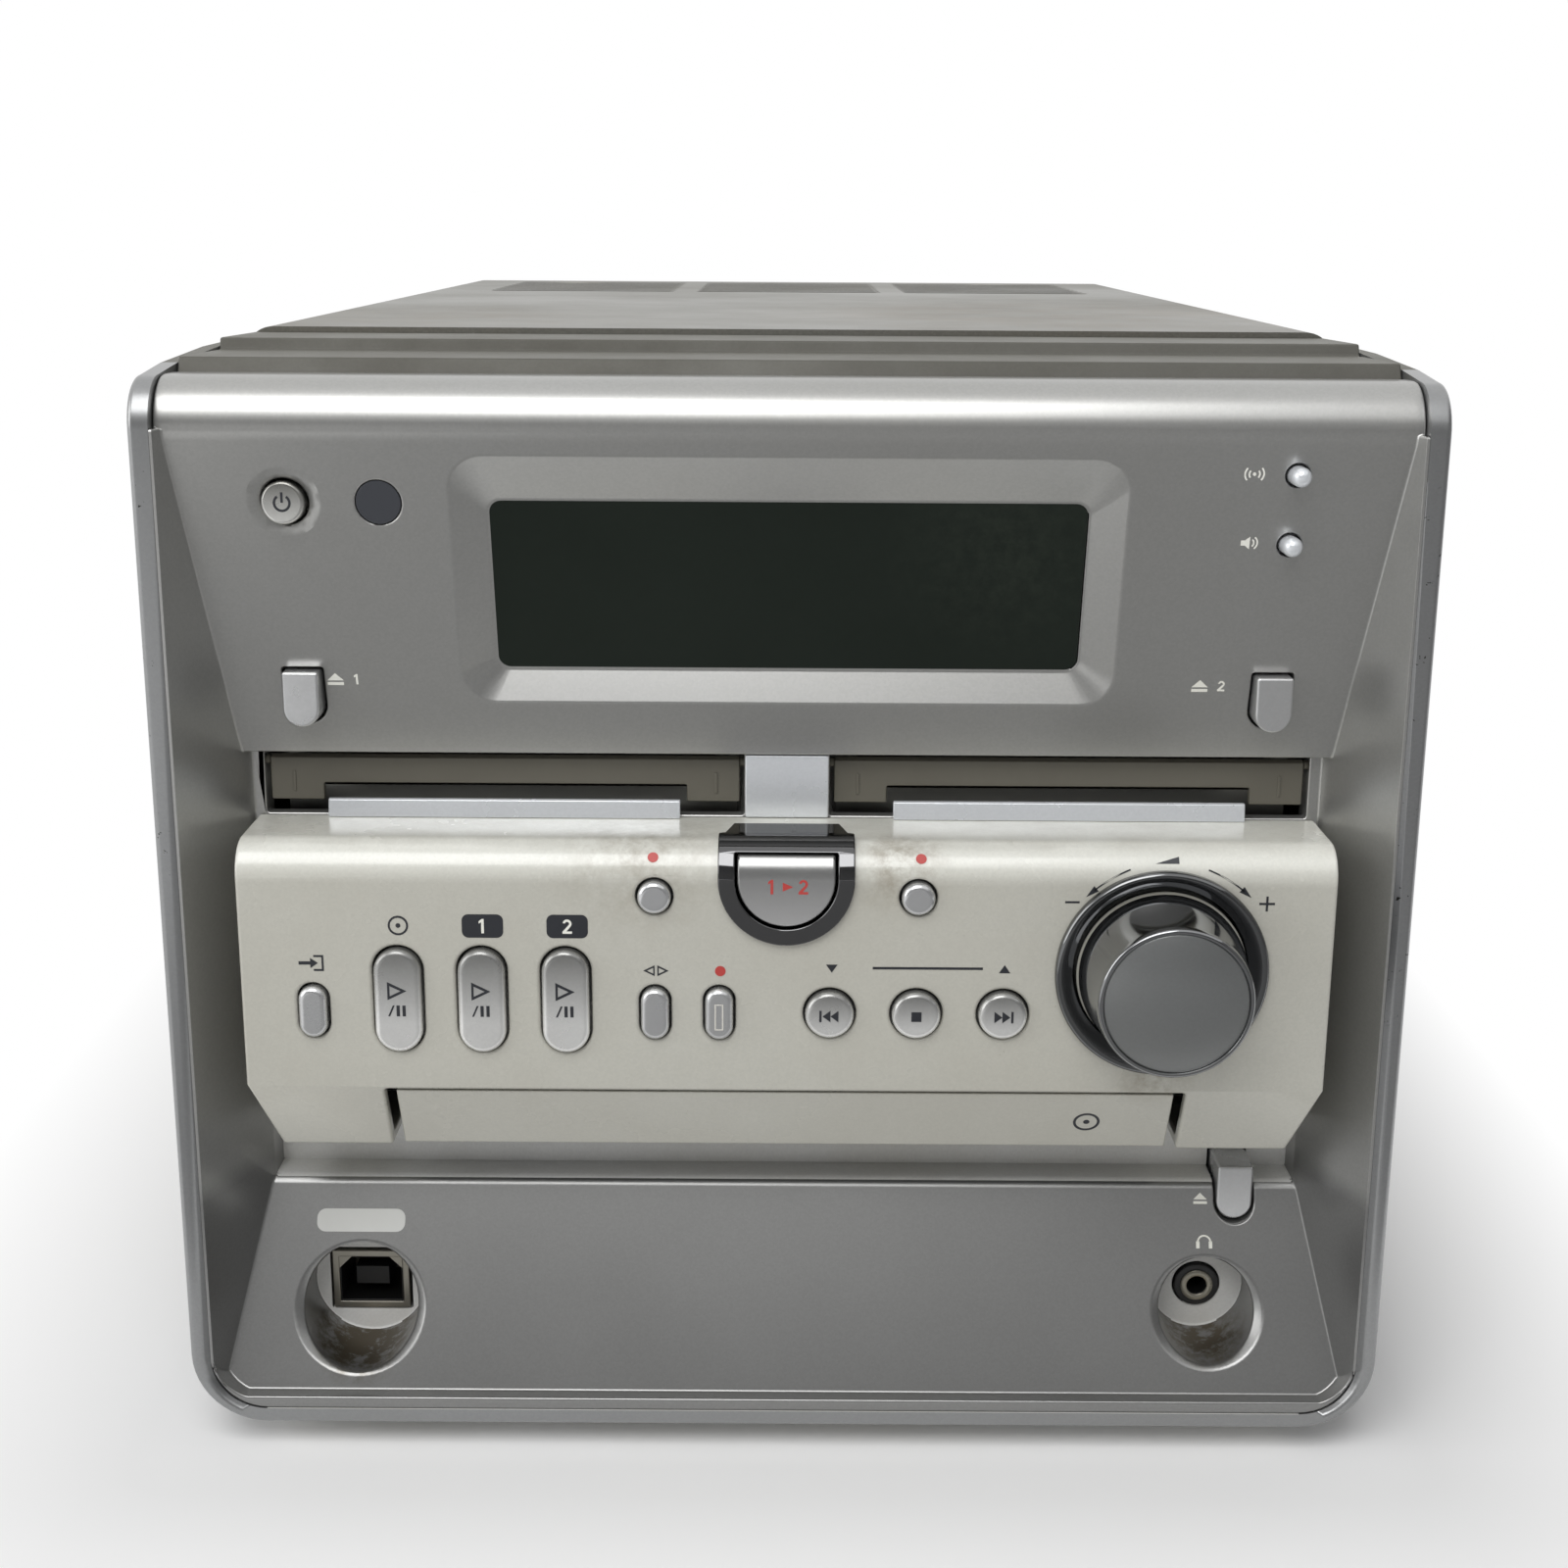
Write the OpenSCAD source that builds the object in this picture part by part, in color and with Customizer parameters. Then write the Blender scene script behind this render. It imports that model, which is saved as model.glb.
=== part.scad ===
// Compact disc and mini-disc hi-fi unit: a metal cabinet behind a moulded front with a
// hollowed silver face, a raised control panel, a disc tray and two mini-disc slots.
// X runs to the right, Y runs from the front to the rear and Z runs up.
// The front plane of the frame is y = 0 and its underside is z = 0 before the last shift.

/* [Cabinet] */
// Width of the front frame
body_w = 209; // [204:0.5:230]
// Height from the underside of the frame to the top of the cover
body_h = 188.3; // [187.5:0.1:200]
// Depth from the front plane of the frame to the rear panel
body_d = 338; // [330:1:380]
// How far the metal cover stands in from each side of the frame
cover_inset = 6.5; // [5.5:0.1:7.5]
// Sheet thickness of the cover
cover_wall = 1; // [0.6:0.1:1.4]
// Radius of the long upper edges of the cover
cover_edge_r = 5; // [3:0.5:9]
// Sheet thickness of the chassis
chassis_wall = 1.2; // [0.8:0.1:1.6]
// Thickness of the rear panel
rear_wall = 1.2; // [0.8:0.1:2]
// Height of the feet under the frame
foot_h = 5; // [3:0.5:8]
// Radius of a foot
foot_r = 9; // [6:0.5:10]

/* [Front housing] */
// Width of the frame strip at the sides
frame_strip = 3.5; // [2.5:0.1:5]
// Thickness of the frame strip along the bottom
frame_base = 2.9; // [2.5:0.1:3.2]
// Corner radius at the bottom of the frame
frame_corner_r = 13; // [8:0.5:16]
// Depth of the moulded housing
housing_d = 54; // [50:1:60]
// How far each side of the housing draws in towards its rear edge
housing_taper = 4.6; // [3.5:0.1:4.8]
// Wall of the mouldings
panel_wall = 2.4; // [1.8:0.1:2.6]
// Joint between the frame and the face panel
parting_gap = 0.15; // [0.1:0.05:0.3]
// Radius of the rolled upper edge
roll_r = 8; // [6:0.5:9]
// Height of the rolled edge
roll_top = 183; // [182:0.1:184]
// Rise of the first step behind the roll
step_rise = 2.3; // [1.5:0.1:2.5]
// Where the first step stands
step_one_y = 16.5; // [15.5:0.5:20]
// Where the second step stands
step_two_y = 35.5; // [30:0.5:40]

/* [Face] */
// Set-back of the lower face at its foot
lower_y = 2.6; // [1.5:0.1:4]
// Foot of the lower face
lower_z = 5.2; // [4.6:0.1:7]
// Set-back of the lower face at its upper edge
ledge_y = 18.6; // [15:0.1:20]
// Upper edge of the lower face
ledge_z = 38; // [36:0.1:40]
// Rounding of that upper edge
ledge_r = 2.5; // [1:0.1:3]
// Depth of the hollow behind the control panel
hollow_y = 26; // [25:0.1:27]
// Set-back of the wall that holds the slots
slot_wall_y = 19.5; // [19:0.1:20.5]
// Set-back of the upper face at its lower edge
upper_low_y = 17; // [14:0.1:18]
// Lower edge of the upper face
upper_low_z = 118.6; // [118:0.1:120]
// Set-back of the upper face under the roll
upper_top_y = 2; // [1:0.1:4]
// How far each cheek leans in at the slot wall
cheek_lean = 8.2; // [7:0.1:8.6]

/* [Control panel] */
// Gap between each end of the control panel and the cheeks
control_gap = 0.7; // [0.4:0.1:1.2]
// Top of the control panel
control_top = 107; // [106:0.1:107.5]
// Radius of its upper front edge
control_roll = 6; // [4:0.5:7]
// Height of the crease above the tray
control_crease = 64.3; // [63.8:0.1:66]
// Underside of the control panel
control_low = 50.4; // [50:0.1:50.6]
// Set-back of the lower edge
control_back = 7.3; // [5:0.1:8]
// How far the lower corners are cut in
control_corner = 4; // [2:0.1:6]

/* [Display] */
// Width of the sloped surround
bezel_w = 110.4; // [106:0.2:114]
// Height of the sloped surround along the face
bezel_h = 45; // [43:0.2:46]
// Middle of the surround
bezel_z = 149.6; // [149:0.1:150]
// Corner radius of the surround
bezel_r = 6; // [4:0.5:8]
// Depth of the surround
bezel_depth = 3.4; // [2.5:0.1:4]
// Width of the window
lens_w = 98; // [94:0.2:100]
// Height of the window along the face
lens_h = 30.4; // [28:0.2:32]
// Middle of the window
lens_z = 147.6; // [147:0.1:148.5]
// Corner radius of the window
lens_r = 2.4; // [1.5:0.1:4]
// Thickness of the window plate
lens_t = 2; // [1.5:0.1:2.5]

/* [Buttons] */
// Play between a button and its hole
button_gap = 0.4; // [0.3:0.05:0.5]
// How far a button stands out of the panel
button_proud = 1.3; // [1:0.1:2]
// Travel of a button
button_travel = 0.8; // [0.5:0.1:1]
// Width of the hidden flange round a button
button_rim = 1.2; // [1:0.1:1.3]
// Thickness of that flange
button_flange = 1.2; // [0.8:0.1:1.4]
// Width of a play button
play_w = 7.9; // [7:0.1:8.6]
// Height of a play button
play_h = 18.2; // [16:0.1:19]
// Middle of the three play buttons
play_x = -51.1; // [-52:0.1:-50]
// Step between the play buttons
play_pitch = 14.1; // [13.5:0.1:14.5]
// Height of the play buttons
play_z = 80; // [79:0.1:81]
// Width of a small upright button
pill_w = 4.7; // [4:0.1:5]
// Height of a small upright button
pill_h = 9; // [8:0.1:10]
// Place of the source button
source_x = -79.6; // [-80.5:0.1:-79]
// Place of the tape button
tape_x = -22; // [-22.5:0.1:-21]
// Place of the tape record button
tape_rec_x = -11.2; // [-12:0.1:-11]
// Height of the row of small buttons
row_z = 77.9; // [77:0.1:79]
// Radius of a transport button
transport_r = 4.1; // [3.6:0.1:4.5]
// Middle of the three transport buttons
transport_x = 22; // [21.5:0.1:22.5]
// Step between the transport buttons
transport_pitch = 14.6; // [14:0.1:15]
// Radius of the two small round buttons
dot_r = 2.8; // [2.4:0.1:3]
// Distance of the small round buttons from the middle
dot_x = 22; // [21:0.1:23]
// Height of the small round buttons
dot_z = 98.4; // [98:0.1:98.6]
// Radius of the power button
power_r = 3.5; // [3:0.1:3.8]
// Place of the power button
power_x = -81.4; // [-82:0.1:-80]
// Height of the power button
power_z = 163; // [162:0.1:164]
// Radius of the remote window
remote_r = 3.65; // [3:0.05:4]
// Place of the remote window
remote_x = -66.2; // [-67:0.1:-66]
// Radius of a ball button
ball_r = 1.6; // [1.3:0.1:1.8]
// Distance of the ball buttons from the middle
ball_x = 81.4; // [80:0.1:82]
// Height of the upper ball button
ball_z = 168.4; // [167:0.1:169]
// Step between the ball buttons
ball_pitch = 11.6; // [10.5:0.1:12]
// Width of a slot eject button
eject_w = 6.2; // [5.5:0.1:6.8]
// Height of a slot eject button
eject_h = 9.4; // [8.5:0.1:10]
// Distance of the slot eject buttons from the middle
eject_x = 81.5; // [80.5:0.1:82]
// Height of the slot eject buttons
eject_z = 129.2; // [128.5:0.1:130]
// Width of the tray eject button
tray_eject_w = 6.4; // [5.5:0.1:7]
// Foot of the tray eject button
tray_eject_low = 32.4; // [31.5:0.1:33]
// Top of the tray eject button
tray_eject_top = 42.6; // [41.5:0.1:43]
// Place of the tray eject button
tray_eject_x = 81.5; // [80.5:0.1:82]

/* [Knob and copy button] */
// Place of the volume knob
knob_x = 63; // [62:0.1:64]
// Height of the volume knob
knob_z = 85.6; // [85:0.1:86.5]
// Radius of the knob at its face
knob_r = 12.7; // [11:0.1:13.5]
// Radius of the knob at its foot
knob_foot_r = 14; // [13.6:0.1:14.3]
// How far the knob stands out
knob_out = 15.5; // [12:0.5:18]
// Radius of the ring round the knob
knob_ring_r = 17.9; // [16.8:0.1:18.2]
// Distance of that ring from the end of the panel
knob_side = 10.8; // [10:0.1:12]
// Radius of the encoder shaft
shaft_r = 3; // [2.5:0.1:3.2]
// Half width of the copy button
copy_r = 8.2; // [7:0.1:8.8]
// Width of the ring round the copy button
copy_ring = 3.2; // [2.6:0.1:3.6]
// Height of the round part's middle
copy_z = 101.6; // [101:0.1:102]
// Flat top of the copy button
copy_top = 105.4; // [105:0.1:105.6]

/* [Slots] */
// Inner edge of a slot, from the middle
slot_in = 7.4; // [7:0.1:8]
// Distance of a slot's outer edge from the end of the control panel
slot_side = 1.4; // [1.2:0.1:2.2]
// Play at each end of a flap
flap_gap = 0.8; // [0.5:0.1:1]
// Lower edge of a flap
flap_low = 109.4; // [109:0.1:110]
// Upper edge of a flap
flap_top = 117; // [116.6:0.1:117.2]
// Thickness of a flap
flap_t = 1.6; // [1.2:0.1:1.8]
// Width of the finger notch
notch_w = 63; // [58:0.5:66]
// Height of the finger notch
notch_h = 3; // [2:0.1:3.4]
// Radius of a flap's hinge pin
flap_pin_r = 0.8; // [0.6:0.05:0.9]
// Width of a slot lip
lip_w = 60.8; // [56:0.2:64]
// Height of a slot lip
lip_h = 3.2; // [2.8:0.1:3.4]
// Thickness of a slot lip
lip_t = 1.2; // [1:0.1:1.4]

/* [Disc loader] */
// Width of the tray front
door_w = 133; // [131:0.2:134]
// Play at each end of the tray front
door_gap = 1.9; // [1:0.1:2]
// Width of the tray
tray_w = 127; // [126:0.2:127.4]
// Thickness of the tray
tray_t = 6; // [5.6:0.1:6.2]
// Underside of the tray
tray_z = 52; // [51.8:0.1:52.4]
// Length of the tray behind its front
tray_l = 161; // [160:0.5:165]
// Travel of the tray
tray_travel = 130; // [110:1:130]
// Radius of the disc seat
disc_r = 61; // [60.5:0.1:61.2]
// Radius of the small disc seat
disc_small_r = 41; // [40.5:0.1:42]
// Running play of the tray
tray_play = 0.4; // [0.3:0.05:0.5]
// Tooth module of the tray gear
gear_m = 1; // [1:0.1:1]
// Teeth on the tray gear
gear_teeth = 20; // [18:1:22]
// Place of the rack's pitch line
rack_x = 56.8; // [56:0.1:57]
// Distance of the pickup rods from the middle
rod_x = 17; // [15:0.5:18]
// Radius of a pickup rod
rod_r = 1.5; // [1.2:0.1:1.8]
// Travel of the pickup
pickup_travel = 34; // [30:0.5:36]

/* [Sockets] */
// Distance of the lower recesses from the middle
recess_x = 76; // [75:0.1:77]
// Height of the lower recesses
recess_z = 18; // [17.5:0.1:18.5]
// Radius of the data recess
data_recess_r = 10.2; // [9.5:0.1:10.5]
// Radius of the phones recess
phones_recess_r = 8.5; // [8:0.1:9]
// Back of both recesses
recess_back = 20; // [18:0.1:21]
// Width of the data socket
data_w = 14; // [12:0.1:14.2]
// Height of the data socket
data_h = 11.4; // [10.4:0.1:11.6]
// Radius of the phones bore
phones_bore_r = 1.8; // [1.75:0.05:1.85]
// Radius of the phones collar
phones_collar_r = 4.1; // [3.6:0.1:4.4]

/* [Hidden] */
$fn = 48;

silver = [0.66, 0.67, 0.69];
bright = [0.8, 0.81, 0.83];
chrome = [0.86, 0.87, 0.88];
ivory = [0.82, 0.81, 0.75];
taupe = [0.42, 0.4, 0.36];
smoke = [0.09, 0.11, 0.1];
black = [0.12, 0.12, 0.13];
steel = [0.7, 0.7, 0.68];
board_green = [0.16, 0.36, 0.22];
copper = [0.6, 0.36, 0.2];

// Shared fits and small sizes
seat_gap = 0.3;         // rest gap between a moving piece and its seat
slip = 0.05;            // radial play of a pin, rod or shaft
over = 1;               // how far a cut runs past the wall it cuts
far = 30;               // reach of a cut into open space
jack_out = 8;           // how far the rear sockets stand out
frame_in = body_w / 2 - frame_strip;
control_wall = panel_wall;
step_one = roll_top + step_rise;
step_two = body_h - cover_wall;
cover_y = housing_d + 0.3;
mid_y = (body_d + jack_out - knob_out) / 2;
recess_in = frame_in - parting_gap - 0.25;
cover_w = body_w - 2 * cover_inset;
control_w = 2 * (recess_in - cheek_lean - control_gap);
slot_out = control_w / 2 - slot_side;

// Places across the front keep their share of the control panel's width
layout_w = 2 * (knob_x + knob_ring_r + knob_side);
function fx(x) = x * control_w / layout_w;
// Places between the window's surround and the sides share the room that is left there
function beside(x) =
    sign(x) * (bezel_w / 2 + (abs(x) - bezel_w / 2) * (control_w - bezel_w) / (layout_w - bezel_w));

// Upper face: its slope, and its set-back at a given height
upper_top_z = roll_top - roll_r;
upper_slope = (upper_low_y - upper_top_y) / (upper_top_z - upper_low_z);
upper_tilt = atan(upper_slope);
function upper_y(z) = upper_low_y - (z - upper_low_z) * upper_slope;
roll_y = upper_top_y + roll_r / cos(upper_tilt);

// Lower face: its set-back at a given height
function lower_face_y(z) = lower_y + (z - lower_z) * (ledge_y - lower_y) / (ledge_z - lower_z);
face_lean = atan((ledge_y - lower_y) / (ledge_z - lower_z));
ledge_top = ledge_z + 1;
ledge_mid = [lower_face_y(ledge_top - ledge_r) + ledge_r / cos(face_lean), ledge_top - ledge_r];
ledge_steps = 6;

// Half width of the hollow at a given set-back
function cheek_x(y) = recess_in - cheek_lean * min(y, slot_wall_y) / slot_wall_y;

// Height and set-back on the sloping strip below the crease
control_slope = control_back / (control_crease - control_low);
function strip_y(z) = max(0, (control_crease - z) * control_slope);

// Tray and loader levels
door_top = control_crease - 1.2;
door_low = control_low + 0.3;
door_face = 0.5;
door_back = control_back + 3.7;
tray_top = tray_z + tray_t;
disc_y = door_back + 3 + disc_r;
disc_floor = tray_top - 3.4;
small_floor = disc_floor - 1;
rail_in = tray_w / 2 + 0.5;
rail_out = rail_in + 5;
rail_y = hollow_y + panel_wall + 2;
rail_l = tray_l + 2;
// The loader's front legs stand behind the sockets
phones_long = 18;
leg_r = 4.5;
leg_y = recess_back - 0.6 + phones_long + 1 + leg_r;
rail_top = tray_top + tray_play + 1.8;
deck_top = tray_z - 9;
deck_t = 2;
gear_r = gear_m * gear_teeth / 2;
gear_x = rack_x - gear_r;
gear_y = rail_y + 7;
gear_low = tray_z - 3.5;
gear_t = 3;
window_low = gear_low - 0.6;
gear_pin_r = 1.5;
rack_count = floor((tray_travel + 24) / (PI * gear_m));
tooth_up = 0.8 * gear_m;
tooth_down = 1.15 * gear_m;
tooth_half = 0.52 * gear_m;
tooth_lean = 0.3 * gear_m;
rod_z = deck_top + 4;
rod_y = disc_y + 16;
rod_l = 64;
sled_l = 20;
motor_r = 12;
motor_h = 4.6;

// Slots and drives
flap_w = slot_out - slot_in - 2 * flap_gap;
flap_mid = (slot_in + slot_out) / 2;
flap_front = slot_wall_y + 0.7;
hinge_y = flap_front + flap_t / 2 + 0.2;
hinge_z = flap_top - 0.6;
hinge_barrel = 1;
slot_low = control_top + 0.2;
slot_high = upper_low_z - 0.3;
post_d = 5.6;
pin_in = 2.4;
drive_y = slot_wall_y + 11;
drive_l = 104;
drive_w = slot_out - slot_in - 2.9;
drive_h = 20;
shelf_t = 1.2;
shelf_top = 97.4;
drive_z = shelf_top;
cartridge_w = drive_w - 7.4;
cartridge_h = 6;
cartridge_z = flap_low;
chassis_z = frame_base + parting_gap;
chassis_top = chassis_z + chassis_wall;
chassis_y = hollow_y + panel_wall + 1;
chassis_w = cover_w - 2 * cover_wall - 0.4;
chassis_front = frame_in - housing_taper - panel_wall - 1;
shelf_half = chassis_front - 0.2;
shelf_y = chassis_y;
wall_half = cheek_x(slot_wall_y) + 0.5;

// Switches and boards
switch_board_y = 8.6;
board_t = 1.6;
flange_y = control_wall + seat_gap;
switch_front = flange_y + button_flange + button_travel + 0.4;
guide_out = 1.6;

// Moves the model so that the middle of its footprint is the origin
module place() {
    translate([0, -mid_y, foot_h]) children();
}

// Runs an outline drawn in x and z along y
module along_y(y0, len) {
    translate([0, y0 + len, 0]) rotate([90, 0, 0]) linear_extrude(len) children();
}

// Runs an outline drawn in y and z along x
module along_x(x0, len) {
    translate([x0, 0, 0]) rotate([90, 0, 90]) linear_extrude(len) children();
}

// Flat rounded rectangle about its middle
module rounded(w, h, r) {
    square([w - 2 * r, h], center = true);
    square([w, h - 2 * r], center = true);
    for (sx = [-1, 1], sy = [-1, 1])
        translate([sx * (w / 2 - r), sy * (h / 2 - r)]) circle(r);
}

// Upright slab with round ends, or a disc when both sizes are equal
module pill(w, h) {
    if (h > w) square([w, h - w], center = true);
    for (s = [-1, 1]) translate([0, s * (h - w) / 2]) circle(w / 2);
}

// Tongue with a flat top and a round foot
module tongue(w, h) {
    translate([-w / 2, -h / 2 + w / 2]) square([w, h - w / 2]);
    translate([0, -h / 2 + w / 2]) circle(w / 2);
}

// Box given by its lower corner and its size
module block(x, y, z, w, d, h) {
    translate([x, y, z]) cube([w, d, h]);
}

// Front housing

// Outline of the housing from the front, with open sides above when tall
module housing_outline(half, low, high, r) {
    translate([-half, low + r]) square([2 * half, high - low - r]);
    translate([-half + r, low]) square([2 * (half - r), r + 1]);
    for (s = [-1, 1]) translate([s * (half - r), low + r]) circle(r);
}

// Plan of the housing, drawn in towards the rear
module housing_plan(half, draw) {
    front = 8;
    polygon([
        [-half, -far], [half, -far], [half, front], [half - draw, housing_d],
        [half - draw, body_d], [draw - half, body_d], [draw - half, housing_d], [-half, front]
    ]);
}

// Everything inside the frame strip
module inside_frame(inset) {
    intersection() {
        along_y(-far, housing_d + 2 * far)
            housing_outline(frame_in - inset, frame_base + inset, body_h + far, frame_corner_r - frame_strip);
        linear_extrude(body_h + far) housing_plan(frame_in - inset, housing_taper);
    }
}

// Side view of the stepped top, from the front plane to the rear edge
module top_profile(drop) {
    groove = 1.2;
    polygon([
        [0, 0], [0, roll_top - drop], [step_one_y - 3 + drop, roll_top - drop],
        [step_one_y - 2.3 + drop, roll_top - groove - drop],
        [step_one_y - 1.5 + drop, roll_top - groove - drop],
        [step_one_y + drop, step_one - drop], [step_two_y + drop, step_one - drop],
        [step_two_y + 0.6 + drop, step_two - drop], [housing_d + (drop > 0 ? over : 0), step_two - drop],
        [housing_d + (drop > 0 ? over : 0), 0]
    ]);
}

// Whole block of the housing
module housing_block() {
    intersection() {
        along_x(-body_w, 2 * body_w) top_profile(0);
        along_y(0, housing_d) housing_outline(body_w / 2, 0, body_h, frame_corner_r);
        linear_extrude(body_h) housing_plan(body_w / 2, housing_taper);
    }
}

// Open space in front of the face, seen from the side
module face_profile(back) {
    tangent_y = roll_y - roll_r * cos(upper_tilt);
    tangent_z = upper_top_z - roll_r * sin(upper_tilt);
    translate([back, 0]) difference() {
        polygon([
            [-far, lower_z], [lower_y, lower_z],
            for (i = [0 : ledge_steps])
                let (a = 180 - face_lean - i * (90 - face_lean) / ledge_steps)
                    ledge_mid + ledge_r * [cos(a), sin(a)],
            [hollow_y, ledge_top], [hollow_y, control_top - 4], [slot_wall_y, control_top - 4],
            [slot_wall_y, upper_low_z], [upper_low_y, upper_low_z], [tangent_y, tangent_z],
            [roll_y, upper_top_z], [roll_y, roll_top + far], [-far, roll_top + far]
        ]);
        translate([roll_y, upper_top_z]) circle(roll_r);
    }
}

// Open space in front of the face, with its slanted cheeks
module face_hollow(back, grow) {
    corner = frame_corner_r - frame_strip - 1;
    intersection() {
        along_x(-body_w, 2 * body_w) face_profile(back);
        along_y(-2 * far, body_d + 4 * far)
            housing_outline(recess_in + 0.1 + grow, lower_z - 0.5 - grow, body_h + far, corner + grow);
        linear_extrude(body_h + far) polygon([
            for (p = [[0, -far], [0, 0], [slot_wall_y, slot_wall_y], [body_d, body_d]])
                [cheek_x(p[0] < slot_wall_y ? max(0, p[1]) : slot_wall_y) + grow, p[1]],
            for (p = [[body_d, slot_wall_y], [slot_wall_y, slot_wall_y], [0, 0], [-far, 0]])
                [-cheek_x(p[1]) - grow, p[0]]
        ]);
    }
}

// Upper end of the face above the cheeks, where the roll runs across to the frame
module roll_space() {
    along_x(-body_w, 2 * body_w) difference() {
        translate([-far, upper_top_z]) square([far + roll_y, far]);
        translate([roll_y, upper_top_z]) circle(roll_r);
    }
}

// Room behind the mouldings
module housing_room() {
    intersection() {
        along_x(-body_w, 2 * body_w) top_profile(panel_wall);
        translate([0, panel_wall, 0]) inside_frame(parting_gap + panel_wall);
        block(-body_w, panel_wall, lower_z + 0.4, 2 * body_w, body_d, body_h);
    }
}

module outer_frame() color(silver) place() {
    rail_rise = 1.6;
    edge = 5;
    difference() {
        intersection() {
            housing_block();
            along_y(-over, housing_d + 2 * over)
                rounded_top(body_w / 2, roll_top + 1.2, edge);
        }
        inside_frame(0);
        along_x(-body_w, 2 * body_w) difference() {
            translate([-far, upper_top_z]) square([far + roll_r, far]);
            translate([roll_r, upper_top_z]) circle(roll_r);
        }
        // The rail stays under the steps of the face panel
        along_x(-body_w, 2 * body_w) polygon([
            [roll_r, roll_top - 0.4], [housing_d + over, roll_top - 0.4 + rail_rise],
            [housing_d + over, roll_top + far], [roll_r, roll_top + far]
        ]);
    }
}

// Front view of the frame, with its upper corners rounded
module rounded_top(half, high, r) {
    translate([-half, -over]) square([2 * half, high - r + over]);
    translate([-half + r, high - r - over]) square([2 * (half - r), r + over]);
    for (s = [-1, 1]) translate([s * (half - r), high - r]) circle(r);
}

// Local frame of the upper face at a height: y runs into the face
module on_upper(x, z) {
    translate([x, upper_y(z), z]) rotate([upper_tilt, 0, 0]) children();
}

// Local frame of the lower face at a height: y runs into the face
rim_depth = 1.2;
module on_lower(x, z) {
    translate([x, lower_face_y(z), z]) rotate([-face_lean, 0, 0]) children();
}

// Guide tube behind a wall, from a set-back to its flat rear end
module guide(x, z, y0, y1) {
    translate([x, 0, z]) along_y(y0, y1 - y0) children();
}

guide_upper = [
    [beside(power_x), power_z, 2 * power_r, 2 * power_r],
    [fx(ball_x), ball_z, 2 * ball_r, 2 * ball_r],
    [fx(ball_x), ball_z - ball_pitch, 2 * ball_r, 2 * ball_r]
];
function guide_end(z, h) = upper_y(z - h / 2 - 2) + panel_wall + guide_out;
tray_eject_h = tray_eject_top - tray_eject_low;
tray_eject_z = (tray_eject_top + tray_eject_low) / 2;
tray_eject_face = lower_face_y(tray_eject_low + 3.5) - 0.6;
tray_guide_end = hollow_y + panel_wall;

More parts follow.
